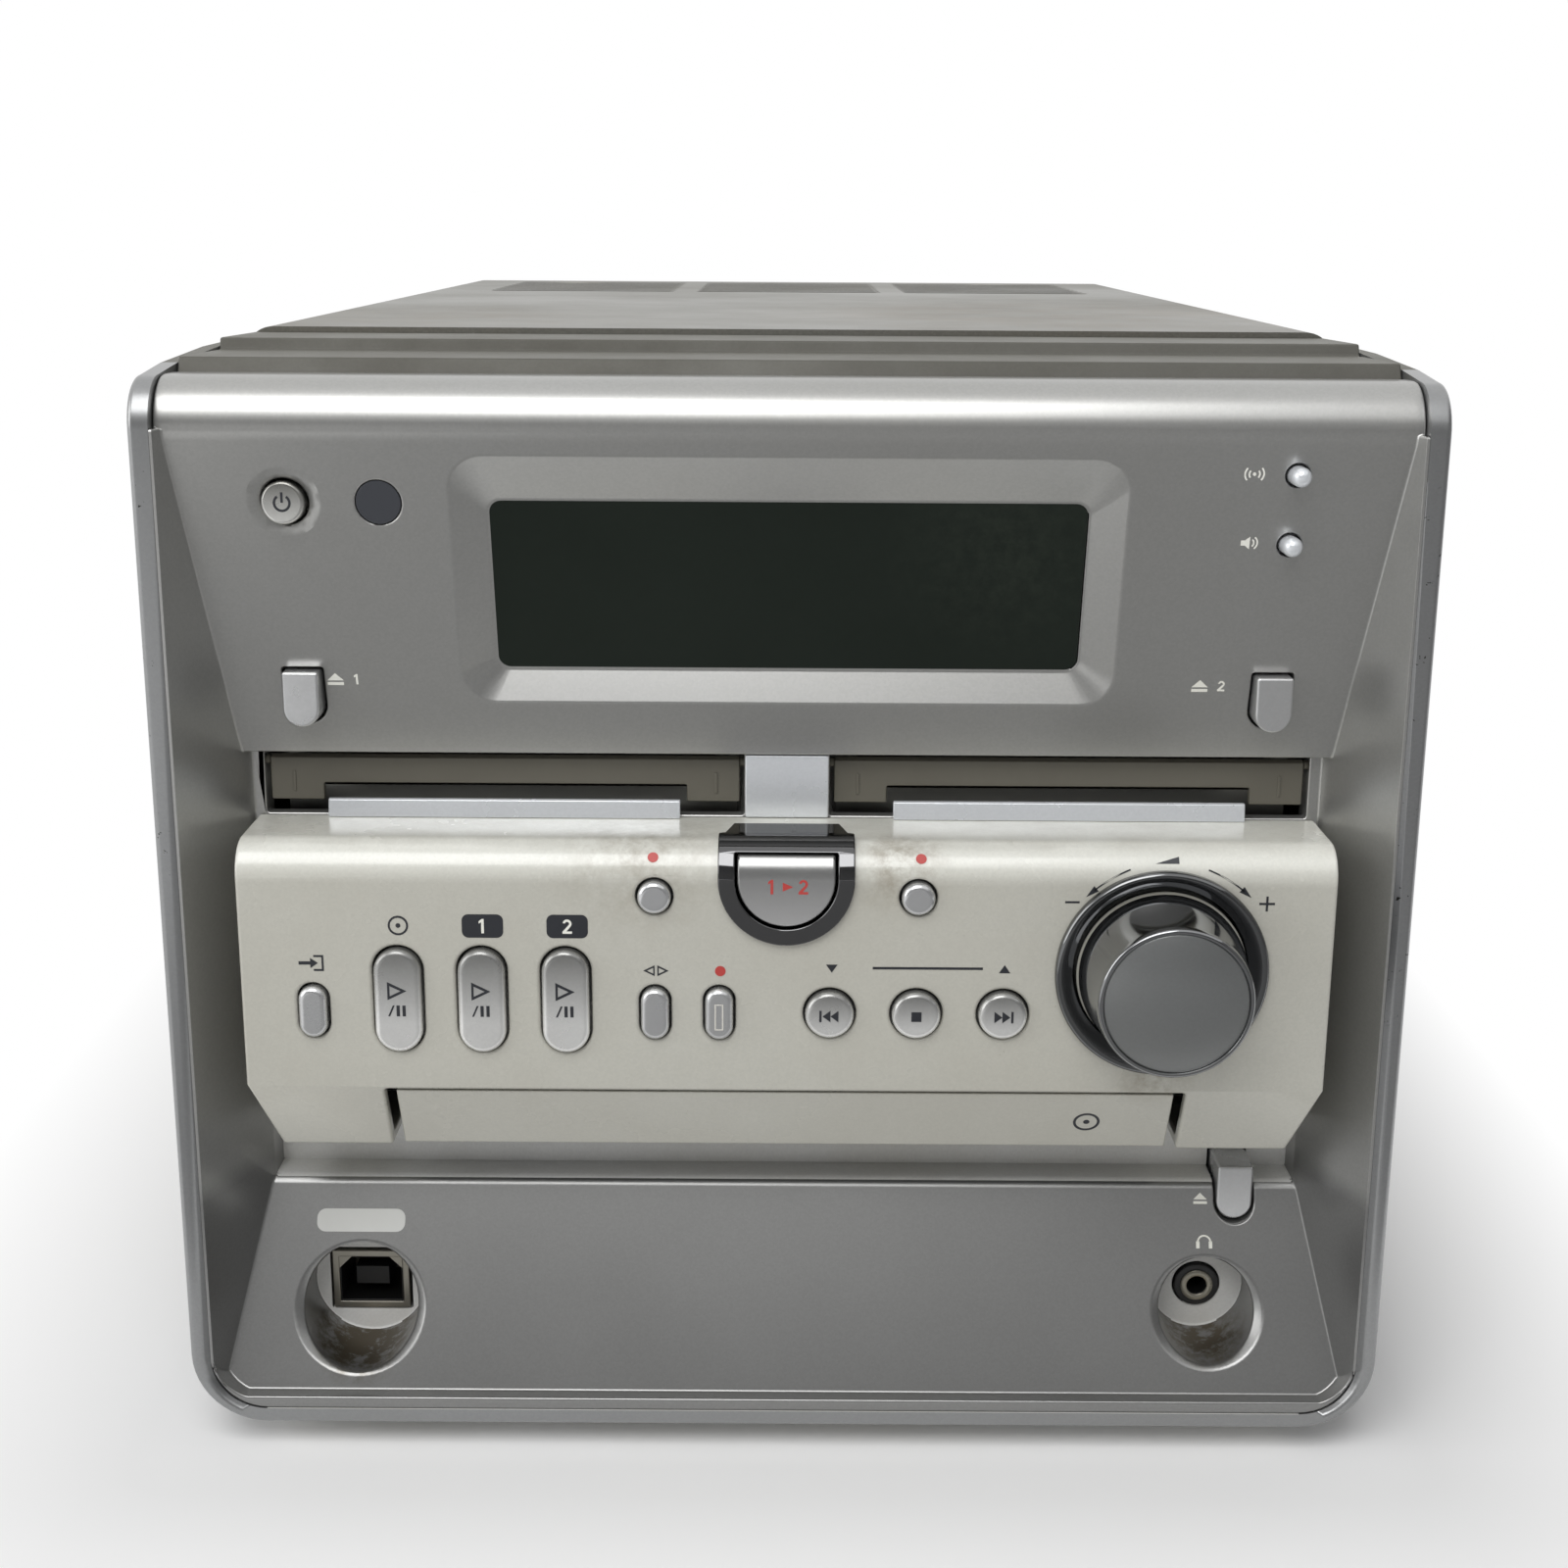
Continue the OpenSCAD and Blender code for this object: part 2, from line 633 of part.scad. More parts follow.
module front_panel() color(silver) place() {
    difference() {
        union() {
            difference() {
                intersection() {
                    housing_block();
                    inside_frame(parting_gap);
                }
                face_hollow(0, 0);
                roll_space();
                difference() {
                    housing_room();
                    face_hollow(panel_wall * 1.1, panel_wall);
                }
            }
            // Surround of the window, deep enough for its slope
            on_upper(0, bezel_z) along_y(1, bezel_depth + 1.6) rounded(bezel_w + 4, bezel_h + 3, bezel_r);
            // Guide tubes for the buttons of the upper face
            for (b = guide_upper)
                guide(b[0], b[1], upper_y(b[1]) + 2, guide_end(b[1], b[3]))
                    pill(b[2] + 2 * button_gap + 3, b[3] + 2 * button_gap + 3);
            for (s = [-1, 1])
                guide(s * fx(eject_x), eject_z, upper_y(eject_z) + 3, guide_end(eject_z, eject_h))
                    tongue(eject_w + 2 * button_gap + 3, eject_h + 2 * button_gap + 3);
            guide(beside(remote_x), power_z, upper_y(power_z) + 2, guide_end(power_z, 2 * remote_r))
                circle(remote_r + 2);
            // Posts that carry the flap hinges
            for (s = [-1, 1])
                block(s * flap_mid - (s < 0 ? slot_out - flap_mid + pin_in + 1 : -(slot_out - flap_mid)),
                    slot_wall_y, control_top - 4, pin_in + 1, post_d, upper_low_z - control_top + 6);
            block(-slot_in, slot_wall_y, control_top - 4, 2 * slot_in, post_d, upper_low_z - control_top + 6);
            // Ledge behind the lower face, and the wall over the control panel
            block(-wall_half, ledge_mid[0], ledge_top - panel_wall, 2 * wall_half,
                hollow_y + panel_wall - ledge_mid[0], panel_wall);
            block(-wall_half, slot_wall_y + 0.5, control_top - 4, 2 * wall_half,
                hollow_y + panel_wall - slot_wall_y - 0.5, panel_wall);
            // Cups behind the two lower recesses
            recess_cup(-fx(recess_x), data_recess_r);
            recess_cup(fx(recess_x), phones_recess_r);
        }
        // Sloped pocket round the window, and the window opening
        hull() {
            on_upper(0, bezel_z) along_y(-0.6, 0.4) rounded(bezel_w, bezel_h, bezel_r, $fn = 32);
            on_upper(0, lens_z) along_y(bezel_depth - 0.01, 0.01)
                rounded(lens_w + 0.4, lens_h + 0.4, lens_r, $fn = 32);
        }
        on_upper(0, lens_z) along_y(0, bezel_depth + 4) rounded(lens_w + 0.3, lens_h + 0.3, lens_r);
        on_upper(0, lens_z) along_y(bezel_depth + lens_t, far) rounded(lens_w + 6, lens_h + 5, lens_r);
        // Holes of the upper face
        for (b = guide_upper)
            guide(b[0], b[1], -far, guide_end(b[1], b[3]) + over)
                pill(b[2] + 2 * button_gap, b[3] + 2 * button_gap);
        for (s = [-1, 1])
            guide(s * fx(eject_x), eject_z, -far, guide_end(eject_z, eject_h) + over)
                tongue(eject_w + 2 * button_gap, eject_h + 2 * button_gap);
        guide(beside(remote_x), power_z, -far, far) circle(remote_r + 0.1);
        // Soft dish round the power button
        on_upper(beside(power_x), power_z) translate([0, -18.6, 0]) sphere(19.6);
        // Slot openings and the bores of their hinges
        for (s = [-1, 1])
            block(s > 0 ? slot_in : -slot_out, slot_wall_y - over, slot_low, slot_out - slot_in,
                panel_wall + post_d, slot_high - slot_low);
        for (s = [-1, 1])
            translate([s * flap_mid - flap_w / 2 - flap_gap - pin_in, hinge_y, hinge_z]) rotate([0, 90, 0])
                cylinder(r = flap_pin_r + slip, h = flap_w + 2 * flap_gap + 2 * pin_in);
        // Window behind the control panel
        block(-control_w / 2 + 5, hollow_y - over, window_low, control_w - 10, panel_wall + 2 * over,
            control_top - 7 - window_low);
        // Lower recesses with the openings in their backs
        for (r = [[-fx(recess_x), data_recess_r], [fx(recess_x), phones_recess_r]])
            guide(r[0], recess_z, -far, recess_back) circle(r[1]);
        for (r = [[-fx(recess_x), data_recess_r], [fx(recess_x), phones_recess_r]])
            on_lower(r[0], recess_z) rotate([90, 0, 0]) translate([0, 0, -rim_depth])
                cylinder(r1 = r[1] - 0.2, r2 = r[1] + 2, h = rim_depth + 0.3);
        guide(-fx(recess_x), recess_z, -far, recess_back + 3 * panel_wall)
            square([data_w + 0.8, data_h + 0.8], center = true);
        guide(fx(recess_x), recess_z, -far, recess_back + 3 * panel_wall) circle(phones_collar_r + 0.2);
        // Slot for the tray eject button
        guide(fx(tray_eject_x), tray_eject_z, ledge_y - 10, tray_guide_end + over)
            tongue(tray_eject_w + 2 * button_gap, tray_eject_h + 2 * button_gap);
        // The floor ends in front of the chassis
        block(-chassis_front - 0.4, chassis_y - seat_gap, 0, 2 * chassis_front + 0.8, housing_d, lower_z + 2);
    }
}

module recess_cup(x, r) {
    difference() {
        guide(x, recess_z, 0, recess_back + panel_wall) circle(r + panel_wall - 0.4);
        face_hollow(0, 0);
    }
}

// Control panel

// Side view of the control panel, grown outwards by a given amount
module control_profile(grow) {
    half_tilt = atan(control_slope) / 2;
    crease = control_crease - grow * tan(half_tilt);
    low = control_low - grow;
    rear = hollow_y - 0.1 + (grow < 0 ? over : 0);
    polygon([
        [-grow, crease], [-grow, control_top - control_roll], [control_roll, control_top - control_roll],
        [control_roll, control_top + grow], [slot_wall_y - 0.2, control_top + grow],
        [slot_wall_y - 0.2, control_top - 4.2], [rear, control_top - 4.2], [rear, low],
        [(crease - low) * control_slope - grow, low]
    ]);
    translate([control_roll, control_top - control_roll]) circle(control_roll + grow);
}

// Front view of the control panel
module control_outline(inset) {
    half = control_w / 2 - inset;
    polygon([
        [-half, control_crease], [-half + control_corner, control_low + inset],
        [half - control_corner, control_low + inset], [half, control_crease],
        [half, control_top + 5 - inset], [-half, control_top + 5 - inset]
    ]);
}

module control_solid(grow) {
    intersection() {
        along_x(-control_w, 2 * control_w) control_profile(grow);
        along_y(-far, 2 * far) control_outline(-min(grow, 0));
    }
}

// The panel's buttons: place, height, width, height of face
control_buttons = [
    [fx(source_x), row_z, pill_w, pill_h],
    [fx(play_x) - fx(play_pitch), play_z, play_w, play_h],
    [fx(play_x), play_z, play_w, play_h],
    [fx(play_x) + fx(play_pitch), play_z, play_w, play_h],
    [fx(tape_x), row_z, pill_w, pill_h],
    [fx(tape_rec_x), row_z, pill_w, pill_h],
    [-fx(dot_x), dot_z, 2 * dot_r, 2 * dot_r],
    [fx(dot_x), dot_z, 2 * dot_r, 2 * dot_r],
    [fx(transport_x) - fx(transport_pitch), row_z, 2 * transport_r, 2 * transport_r],
    [fx(transport_x), row_z, 2 * transport_r, 2 * transport_r],
    [fx(transport_x) + fx(transport_pitch), row_z, 2 * transport_r, 2 * transport_r]
];
switch_board_posts = [
    for (x = [-71.5, -30, 14.5, 85], z = [control_crease + 5, control_top - 14]) [fx(x), z]
];
post_r = 2;
encoder_bush_r = 4.5;

module control_panel() color(ivory) place() {
    difference() {
        union() {
            difference() {
                control_solid(0);
                control_solid(-control_wall);
            }
            for (p = switch_board_posts)
                guide(p[0], p[1], control_wall - 0.2, switch_board_y) circle(post_r);
        }
        // Notch for the tray front
        block(-door_w / 2 - door_gap, -over, control_low - over, door_w + 2 * door_gap, hollow_y + far,
            door_top + 0.5 - control_low + over);
        for (b = control_buttons)
            guide(b[0], b[1], -over, control_wall + over) pill(b[2] + 2 * button_gap, b[3] + 2 * button_gap);
        guide(fx(knob_x), knob_z, -over, control_wall + over) circle(encoder_bush_r + 0.2);
        guide(0, 0, -over, copy_seat - 0.2) copy_outline(copy_r + 1.3, copy_top + 1.3);
    }
}

// Copy button and its ring, which wrap over the rolled edge
copy_seat = control_roll + 1.6;

module copy_outline(r, top) {
    intersection() {
        union() {
            translate([0, copy_z]) circle(r);
            translate([-r, copy_z]) square([2 * r, far]);
        }
        translate([-far, 0]) square([2 * far, top]);
    }
}

module copy_ring_trim() color(chrome) place() {
    out = copy_r + copy_ring;
    skin = 0.9;
    tab_y = control_roll + 6;
    difference() {
        union() {
            intersection() {
                difference() {
                    control_solid(skin);
                    control_solid(0.03);
                }
                union() {
                    along_y(-far, far + control_roll) copy_outline(out, control_top + far);
                    linear_extrude(body_h)
                        polygon([[-out, 2], [out, 2], [out - 2.4, tab_y], [2.4 - out, tab_y]]);
                }
                block(-far, -far, control_crease, 2 * far, 2 * far, far * 2);
            }
            intersection() {
                control_solid(skin);
                along_y(-far, far + copy_seat - 0.4) copy_outline(copy_r + 1.1, copy_top + 1.1);
            }
        }
        along_y(-far, 2 * far) copy_outline(copy_r + button_gap, copy_top + button_gap);
    }
}

module copy_button() color(silver) place() {
    neck_y = copy_seat - 1.6;
    neck_top = control_top - control_wall - 0.9;
    intersection() {
        control_solid(0.6);
        along_y(-far, far + neck_y) copy_outline(copy_r, copy_top);
    }
    along_y(neck_y - 0.1, copy_seat + 1.1 - neck_y) copy_outline(copy_r, neck_top);
    along_y(copy_seat - 0.4 + seat_gap, button_flange) copy_outline(copy_r + 0.9, neck_top);
}

// Sprung button of the control panel: a cap, its flange and the stem towards its switch
module press_button(b, rim) {
    depth = flange_y + button_flange;
    translate([b[0], 0, b[1]]) {
        along_y(-button_proud, button_proud + depth) pill(b[2], b[3]);
        along_y(flange_y, button_flange) pill(b[2] + 2 * rim, b[3] + 2 * rim);
    }
}

module source_button() color(silver) place() press_button(control_buttons[0], button_rim);
module first_play_button() color(silver) place() press_button(control_buttons[1], button_rim);
module second_play_button() color(silver) place() press_button(control_buttons[2], button_rim);
module third_play_button() color(silver) place() press_button(control_buttons[3], button_rim);
module tape_button() color(silver) place() press_button(control_buttons[4], button_rim);
module tape_record_button() color(silver) place() press_button(control_buttons[5], button_rim);
module record_mode_button() color(silver) place() press_button(control_buttons[6], button_rim / 2);
module record_button() color(silver) place() press_button(control_buttons[7], button_rim / 2);
module skip_back_button() color(silver) place() press_button(control_buttons[8], button_rim);
module stop_button() color(silver) place() press_button(control_buttons[9], button_rim);
module skip_forward_button() color(silver) place() press_button(control_buttons[10], button_rim);

module switch_board() color(board_green) place() {
    difference() {
        block(-control_w / 2 + 4, switch_board_y, control_crease + 1.6, control_w - 8, board_t,
            control_top - 8 - control_crease);
        guide(0, 0, 0, far) copy_outline(copy_r + 2, control_top);
    }
    for (b = control_buttons)
        translate([b[0], 0, b[1]]) {
            along_y(switch_front, switch_board_y - switch_front) circle(1.7);
            along_y(switch_front + 1, switch_board_y - switch_front - 1) square([6, 6], center = true);
        }
}

// Volume control

module volume_ring() color(chrome) place() {
    wide = knob_ring_r - knob_foot_r - 0.9;
    translate([fx(knob_x), 0, knob_z]) rotate([90, 0, 0]) rotate_extrude($fn = 96) {
        translate([knob_ring_r - wide, 0.03]) square([wide, 0.9]);
        intersection() {
            translate([knob_ring_r - wide / 2, 0.9 - wide * 0.35]) circle(wide * 0.61);
            translate([knob_ring_r - wide, 0.9]) square([wide, wide]);
        }
    }
}

module volume_knob() color(chrome) place() {
    dish = 0.6;
    edge = 1;
    translate([fx(knob_x), 0, knob_z]) rotate([90, 0, 0]) difference() {
        rotate_extrude($fn = 96) polygon([
            [0, seat_gap + 0.3], [knob_foot_r, seat_gap + 0.3], [knob_foot_r, 3], [knob_r, knob_out - edge],
            [knob_r - edge, knob_out], [knob_r - 1.4, knob_out], [knob_r - 1.7, knob_out - dish],
            [0, knob_out - dish]
        ]);
        translate([0, 0, -over]) cylinder(r = shaft_r + 0.02, h = knob_out - 2);
    }
}

module encoder_shaft() color(steel) place() {
    translate([fx(knob_x), 0, knob_z]) rotate([90, 0, 0]) translate([0, 0, -switch_board_y + 1])
        cylinder(r = shaft_r, h = knob_out - 3.4 + switch_board_y - 1);
}

module volume_encoder() color(steel) place() {
    translate([fx(knob_x), 0, knob_z]) difference() {
        union() {
            along_y(-0.1, switch_board_y + 0.1) circle(encoder_bush_r);
            along_y(control_wall + 0.4, switch_board_y - control_wall - 0.4) square([13, 13], center = true);
        }
        along_y(-over, switch_board_y - 1 + slip + over) circle(shaft_r + slip);
    }
}

// Upper face

module display_lens() color(smoke) place() on_upper(0, lens_z) {
    along_y(bezel_depth, lens_t + 0.2) rounded(lens_w, lens_h, lens_r);
    along_y(bezel_depth + lens_t + 0.1, 1.2) rounded(lens_w + 5, lens_h + 4, lens_r);
}

module display_module() color(black) place() on_upper(0, lens_z) {
    glass = bezel_depth + lens_t + 1.3 + seat_gap;
    along_y(glass, 4) rounded(lens_w - 6, lens_h - 4, 1);
    along_y(glass + 4, board_t) square([lens_w + 6, lens_h + 8], center = true);
}

module remote_window() color(smoke) place() {
    back = guide_end(power_z, 2 * remote_r);
    difference() {
        translate([beside(remote_x), 0, power_z]) {
            along_y(-over, back + over + 0.2) circle(remote_r);
            along_y(back + 0.1, 1.2) circle(remote_r + 1.2);
        }
        on_upper(beside(remote_x), power_z) block(-far, -2 * far, -far, 2 * far, 2 * far + 0.15, 2 * far);
    }
}

// Button of the upper face: a cap and its flange behind the guide tube
module upper_button(x, z, w, h, face, round_foot) {
    back = guide_end(z, h) + seat_gap;
    translate([x, 0, z]) {
        along_y(face, back - face + button_flange)
            if (round_foot) tongue(w, h);
            else pill(w, h);
        along_y(back, button_flange)
            if (round_foot) tongue(w + 2 * button_rim, h + 2 * button_rim);
            else pill(w + 2 * button_rim, h + 2 * button_rim);
    }
}

// Pin with a ball end
module ball_button(z) {
    back = guide_end(z, 2 * ball_r) + seat_gap;
    out = upper_y(z) - 2.4;
    translate([fx(ball_x), 0, z]) {
        along_y(out, back - out + button_flange) circle(ball_r);
        translate([0, out, 0]) sphere(ball_r);
        along_y(back, button_flange) circle(ball_r + button_rim);
    }
}

module power_button() color(bright) place()
    upper_button(beside(power_x), power_z, 2 * power_r, 2 * power_r, upper_y(power_z + power_r) - 0.4, false);
module upper_ball_button() color(bright) place() ball_button(ball_z);
module lower_ball_button() color(bright) place() ball_button(ball_z - ball_pitch);
module left_eject_button() color(silver) place()
    upper_button(-fx(eject_x), eject_z, eject_w, eject_h, upper_y(eject_z + eject_h / 2) - 2.6, true);
module right_eject_button() color(silver) place()
    upper_button(fx(eject_x), eject_z, eject_w, eject_h, upper_y(eject_z + eject_h / 2) - 2.6, true);

module tray_eject_button() color(silver) place() {
    back = tray_guide_end + seat_gap;
    translate([fx(tray_eject_x), 0, tray_eject_z]) {
        along_y(tray_eject_face, back - tray_eject_face + button_flange) tongue(tray_eject_w, tray_eject_h);
        along_y(back, button_flange) tongue(tray_eject_w + 2 * button_rim, tray_eject_h + 2 * button_rim);
    }
}

// Mini-disc slots

module slot_bridge() color(bright) place() {
    bend_z = 111.5;
    along_x(-slot_in + 0.2, 2 * slot_in - 0.4) polygon([
        [slot_wall_y - 0.05, control_top + 0.1], [slot_wall_y - 0.05, upper_low_z - 0.2],
        [upper_low_y + 0.4, upper_low_z - 0.2], [slot_wall_y - 1.7, bend_z],
        [slot_wall_y - 1.3, control_top + 0.1]
    ]);
}

module slot_lips() color(bright) place() {
    edge = 0.5;
    for (s = [-1, 1])
        translate([s * flap_mid, 0, 0]) along_x(-lip_w / 2, lip_w) polygon([
            [slot_wall_y - 0.4, control_top + 0.05], [slot_wall_y - 0.4, control_top + lip_h - edge],
            [slot_wall_y - 0.4 - edge, control_top + lip_h],
            [slot_wall_y - 0.4 - lip_t, control_top + lip_h - 0.2],
            [slot_wall_y - 1 - lip_t, control_top + 0.05]
        ]);
}

module flap(s) {
    translate([s * flap_mid, 0, 0]) {
        difference() {
            translate([0, 0, (flap_low + flap_top) / 2]) along_y(flap_front, flap_t)
                square([flap_w, flap_top - flap_low], center = true);
            block(-notch_w / 2, flap_front - over, flap_low - over, notch_w, flap_t + 2 * over,
                notch_h + over);
        }
        translate([-flap_w / 2, hinge_y, hinge_z]) rotate([0, 90, 0]) cylinder(r = hinge_barrel, h = flap_w);
        translate([-flap_w / 2 - flap_gap - pin_in + 0.3, hinge_y, hinge_z]) rotate([0, 90, 0])
            cylinder(r = flap_pin_r, h = flap_w + 2 * flap_gap + 2 * pin_in - 0.6);
    }
}

module left_flap() color(taupe) place() flap(-1);
module right_flap() color(taupe) place() flap(1);

// Closed drive with a cartridge mouth towards its slot
module slot_drive(s) {
    mouth = 78;
    translate([s * flap_mid, 0, 0]) {
        difference() {
            block(-drive_w / 2, drive_y, drive_z, drive_w, drive_l, drive_h);
            block(-cartridge_w / 2, drive_y - over, cartridge_z, cartridge_w, mouth, cartridge_h);
            for (x = [-24, 24])
                translate([x, drive_y + drive_l - 14, drive_z + drive_h - 2]) cylinder(r = 5, h = 3);
        }
        block(-drive_w / 2 + 8, drive_y + drive_l, drive_z + 2, drive_w - 16, 3, 8);
    }
}

module left_drive() color(steel) place() slot_drive(-1);
module right_drive() color(steel) place() slot_drive(1);

module drive_shelf() color(steel) place() {
    deep = drive_y + drive_l + 4 - shelf_y;
    leg_h = shelf_top - chassis_top - 0.2;
    difference() {
        block(-shelf_half, shelf_y, shelf_top - shelf_t, 2 * shelf_half, deep, shelf_t);
        for (s = [-1, 1]) translate([s * flap_mid, drive_y + drive_l / 2, shelf_top - shelf_t - over])
            cylinder(r = 20, h = shelf_t + 2 * over);
    }
    for (s = [-1, 1]) {
        block(s > 0 ? shelf_half - shelf_t : -shelf_half, shelf_y, chassis_top, shelf_t, deep, leg_h);
        block(s > 0 ? shelf_half - 10 : -shelf_half, shelf_y, chassis_top, 10, deep, shelf_t);
    }
}

// Disc loader

module gear_outline() {
    step = 360 / gear_teeth;
    root = gear_r - tooth_down;
    tip = gear_r + tooth_up;
    root_half = (tooth_half + tooth_lean) / root * 180 / PI;
    tip_half = (tooth_half - tooth_lean) / tip * 180 / PI;
    polygon([
        for (i = [0 : gear_teeth - 1],
            p = [[root, -root_half], [tip, -tip_half], [tip, tip_half], [root, root_half]])
            p[0] * [cos(i * step + p[1]), sin(i * step + p[1])]
    ]);
}

module drive_gear() color(ivory) place() {
    translate([gear_x, gear_y, gear_low]) difference() {
        union() {
            linear_extrude(gear_t) gear_outline();
            translate([0, 0, -1.4]) cylinder(r = gear_r * 0.5, h = gear_t + 1.4);
        }
        translate([0, 0, -2]) cylinder(r = gear_pin_r + slip, h = gear_t + 4);
        for (a = [0 : 60 : 300])
            rotate(a) translate([gear_r * 0.68, 0, -over]) cylinder(r = 1.3, h = gear_t + 2 * over);
    }
}

// Rack under the tray: the teeth point to the gear, and one gap lies over its middle
module rack() {
    pitch = PI * gear_m;
    first = gear_y - 7.5 * pitch;
    foot = rack_x + tooth_down;
    translate([0, 0, gear_low]) linear_extrude(tray_z - gear_low + 0.1) {
        polygon([
            [foot + 3, first], [foot, first],
            for (i = [0 : rack_count - 1]) let (y = first + (i + 1) * pitch)
                each [
                    [foot, y - tooth_half - tooth_lean], [rack_x - tooth_up, y - tooth_half + tooth_lean],
                    [rack_x - tooth_up, y + tooth_half - tooth_lean], [foot, y + tooth_half + tooth_lean]
                ],
            [foot, first + (rack_count + 1) * pitch], [foot + 3, first + (rack_count + 1) * pitch]
        ]);
    }
}

module disc_tray() color(black) place() {
    difference() {
        union() {
            block(-tray_w / 2, door_back, tray_z, tray_w, tray_l, tray_t);
            rack();
        }
        translate([0, disc_y, disc_floor]) cylinder(r = disc_r, h = tray_t, $fn = 96);
        translate([0, disc_y, small_floor]) cylinder(r = disc_small_r, h = tray_t, $fn = 96);
        // Opening for the turntable and the pickup
        translate([0, disc_y, tray_z - over]) linear_extrude(tray_t) {
            circle(19);
            translate([-19, 0]) square([38, 50]);
        }
        // Finger hollows beside the disc
        for (s = [-1, 1]) translate([s * disc_r, disc_y, disc_floor - 0.6]) cylinder(r = 13, h = tray_t);
        // Lightening pocket behind the disc
        block(-tray_w / 2 + 8, disc_y + disc_r + 6, tray_z + 2, tray_w - 16,
            door_back + tray_l - disc_y - disc_r - 10, tray_t);
    }
}

module tray_front() color(ivory) place() {
    cells = 5;
    rib = 2;
    skin = 2.4;
    cell_w = (door_w - rib) / cells - rib;
    difference() {
        along_x(-door_w / 2, door_w) polygon([
            [strip_y(door_top) + door_face, door_top], [strip_y(door_low) + door_face, door_low],
            [door_back, door_low], [door_back, door_top]
        ]);
        for (i = [0 : cells - 1])
            along_x(-door_w / 2 + rib + i * (cell_w + rib), cell_w) polygon([
                [strip_y(door_top - skin) + door_face + skin, door_top - 1.6],
                [strip_y(tray_top) + door_face + skin, tray_top + 0.6],
                [door_back + over, tray_top + 0.6], [door_back + over, door_top - 1.6]
            ]);
    }
}

module loader_frame() color(black) place() {
    lip = 3.4;
    low = tray_z - tray_play - 1.6;
    post_z = deck_top - deck_t;
    difference() {
        union() {
            block(-rail_out, rail_y, post_z, 2 * rail_out, rail_l, deck_t);
            for (s = [-1, 1]) {
                block(s > 0 ? rail_in : -rail_out, rail_y, post_z, rail_out - rail_in, rail_l,
                    rail_top - post_z);
                block(s > 0 ? rail_in - lip : -rail_in, rail_y, tray_top + tray_play, lip, rail_l,
                    rail_top - tray_top - tray_play);
                block(s > 0 ? rail_in - 2 : -rail_in, rail_y, low, 2, rail_l, tray_z - tray_play - low);
            }
            // Legs on the chassis
            for (x = [-rail_out + 5, rail_out - 5], y = [leg_y, rail_y + rail_l - 6])
                translate([x, y, chassis_top]) cylinder(r = leg_r, h = post_z - chassis_top + 0.5);
            // Gear pin and the blocks that hold the pickup rods
            translate([gear_x, gear_y, post_z]) cylinder(r = gear_pin_r, h = gear_low + gear_t - post_z);
            translate([gear_x, gear_y, post_z])
                cylinder(r = gear_r * 0.4, h = gear_low - 1.4 - seat_gap - post_z);
            for (s = [-1, 1], y = [rod_y, rod_y + rod_l - 4])
                block(s * rod_x - 3.5, y, post_z + 0.5, 7, 4, rod_z + 3 - post_z - 0.5);
        }
        for (s = [-1, 1]) translate([s * rod_x, rod_y - over, rod_z]) rotate([-90, 0, 0])
            cylinder(r = rod_r + 0.02, h = rod_l + 2 * over);
        // Opening in the deck below the pickup
        block(-rod_x + 5, rod_y + 6, post_z - over, 2 * rod_x - 10, rod_l - 12, deck_t + 2 * over);
    }
}

module pickup_rods() color(steel) place() {
    for (s = [-1, 1]) translate([s * rod_x, rod_y, rod_z]) rotate([-90, 0, 0]) cylinder(r = rod_r, h = rod_l);
}

module pickup_sled() color(black) place() {
    y0 = rod_y + 4 + seat_gap;
    high = rod_z + 3;
    translate([0, y0, 0]) difference() {
        union() {
            block(-rod_x - 4, 0, rod_z - 3, 2 * rod_x + 8, sled_l, high - rod_z + 3);
            translate([0, sled_l / 2, high]) cylinder(r1 = 4.5, r2 = 3.4, h = 1.2);
        }
        for (s = [-1, 1]) translate([s * rod_x, -over, rod_z]) rotate([-90, 0, 0])
            cylinder(r = rod_r + slip, h = sled_l + 2 * over);
        translate([0, sled_l / 2, high - 1]) cylinder(r = 2.4, h = 4);
    }
}

module spindle_motor() color(steel) place() {
    translate([0, disc_y, deck_top]) difference() {
        cylinder(r = motor_r, h = motor_h);
        translate([0, 0, 1]) cylinder(r = 1 + slip, h = motor_h);
    }
}

module turntable() color(black) place() {
    flat_z = deck_top + motor_h + seat_gap;
    translate([0, disc_y, 0]) rotate_extrude($fn = 72) polygon([
        [0, deck_top + 1.4], [1, deck_top + 1.4], [1, flat_z], [13, flat_z], [13, flat_z + 1.2],
        [7.4, flat_z + 1.2], [7, flat_z + 2.6], [5.6, flat_z + 3.2], [0, flat_z + 3.2]
    ]);
}

module clamp_bridge() color(steel) place() {
    deep = 36;
    difference() {
        block(-rail_out, disc_y - deep / 2, rail_top, 2 * rail_out, deep, 1.2);
        translate([0, disc_y, rail_top - over]) cylinder(r = 11, h = 4);
        for (s = [-1, 1]) translate([s * 36, disc_y, rail_top - over]) cylinder(r = 8, h = 4);
    }
}

module clamper() color(black) place() {
    translate([0, disc_y, 0]) rotate_extrude($fn = 72) polygon([
        [0, tray_top + 0.6], [14, tray_top + 0.6], [14, rail_top - 0.5], [10.4, rail_top - 0.5],
        [10.4, rail_top + 1.5], [14, rail_top + 1.5], [14, rail_top + 3], [0, rail_top + 3]
    ]);
}

// Sockets in the lower face

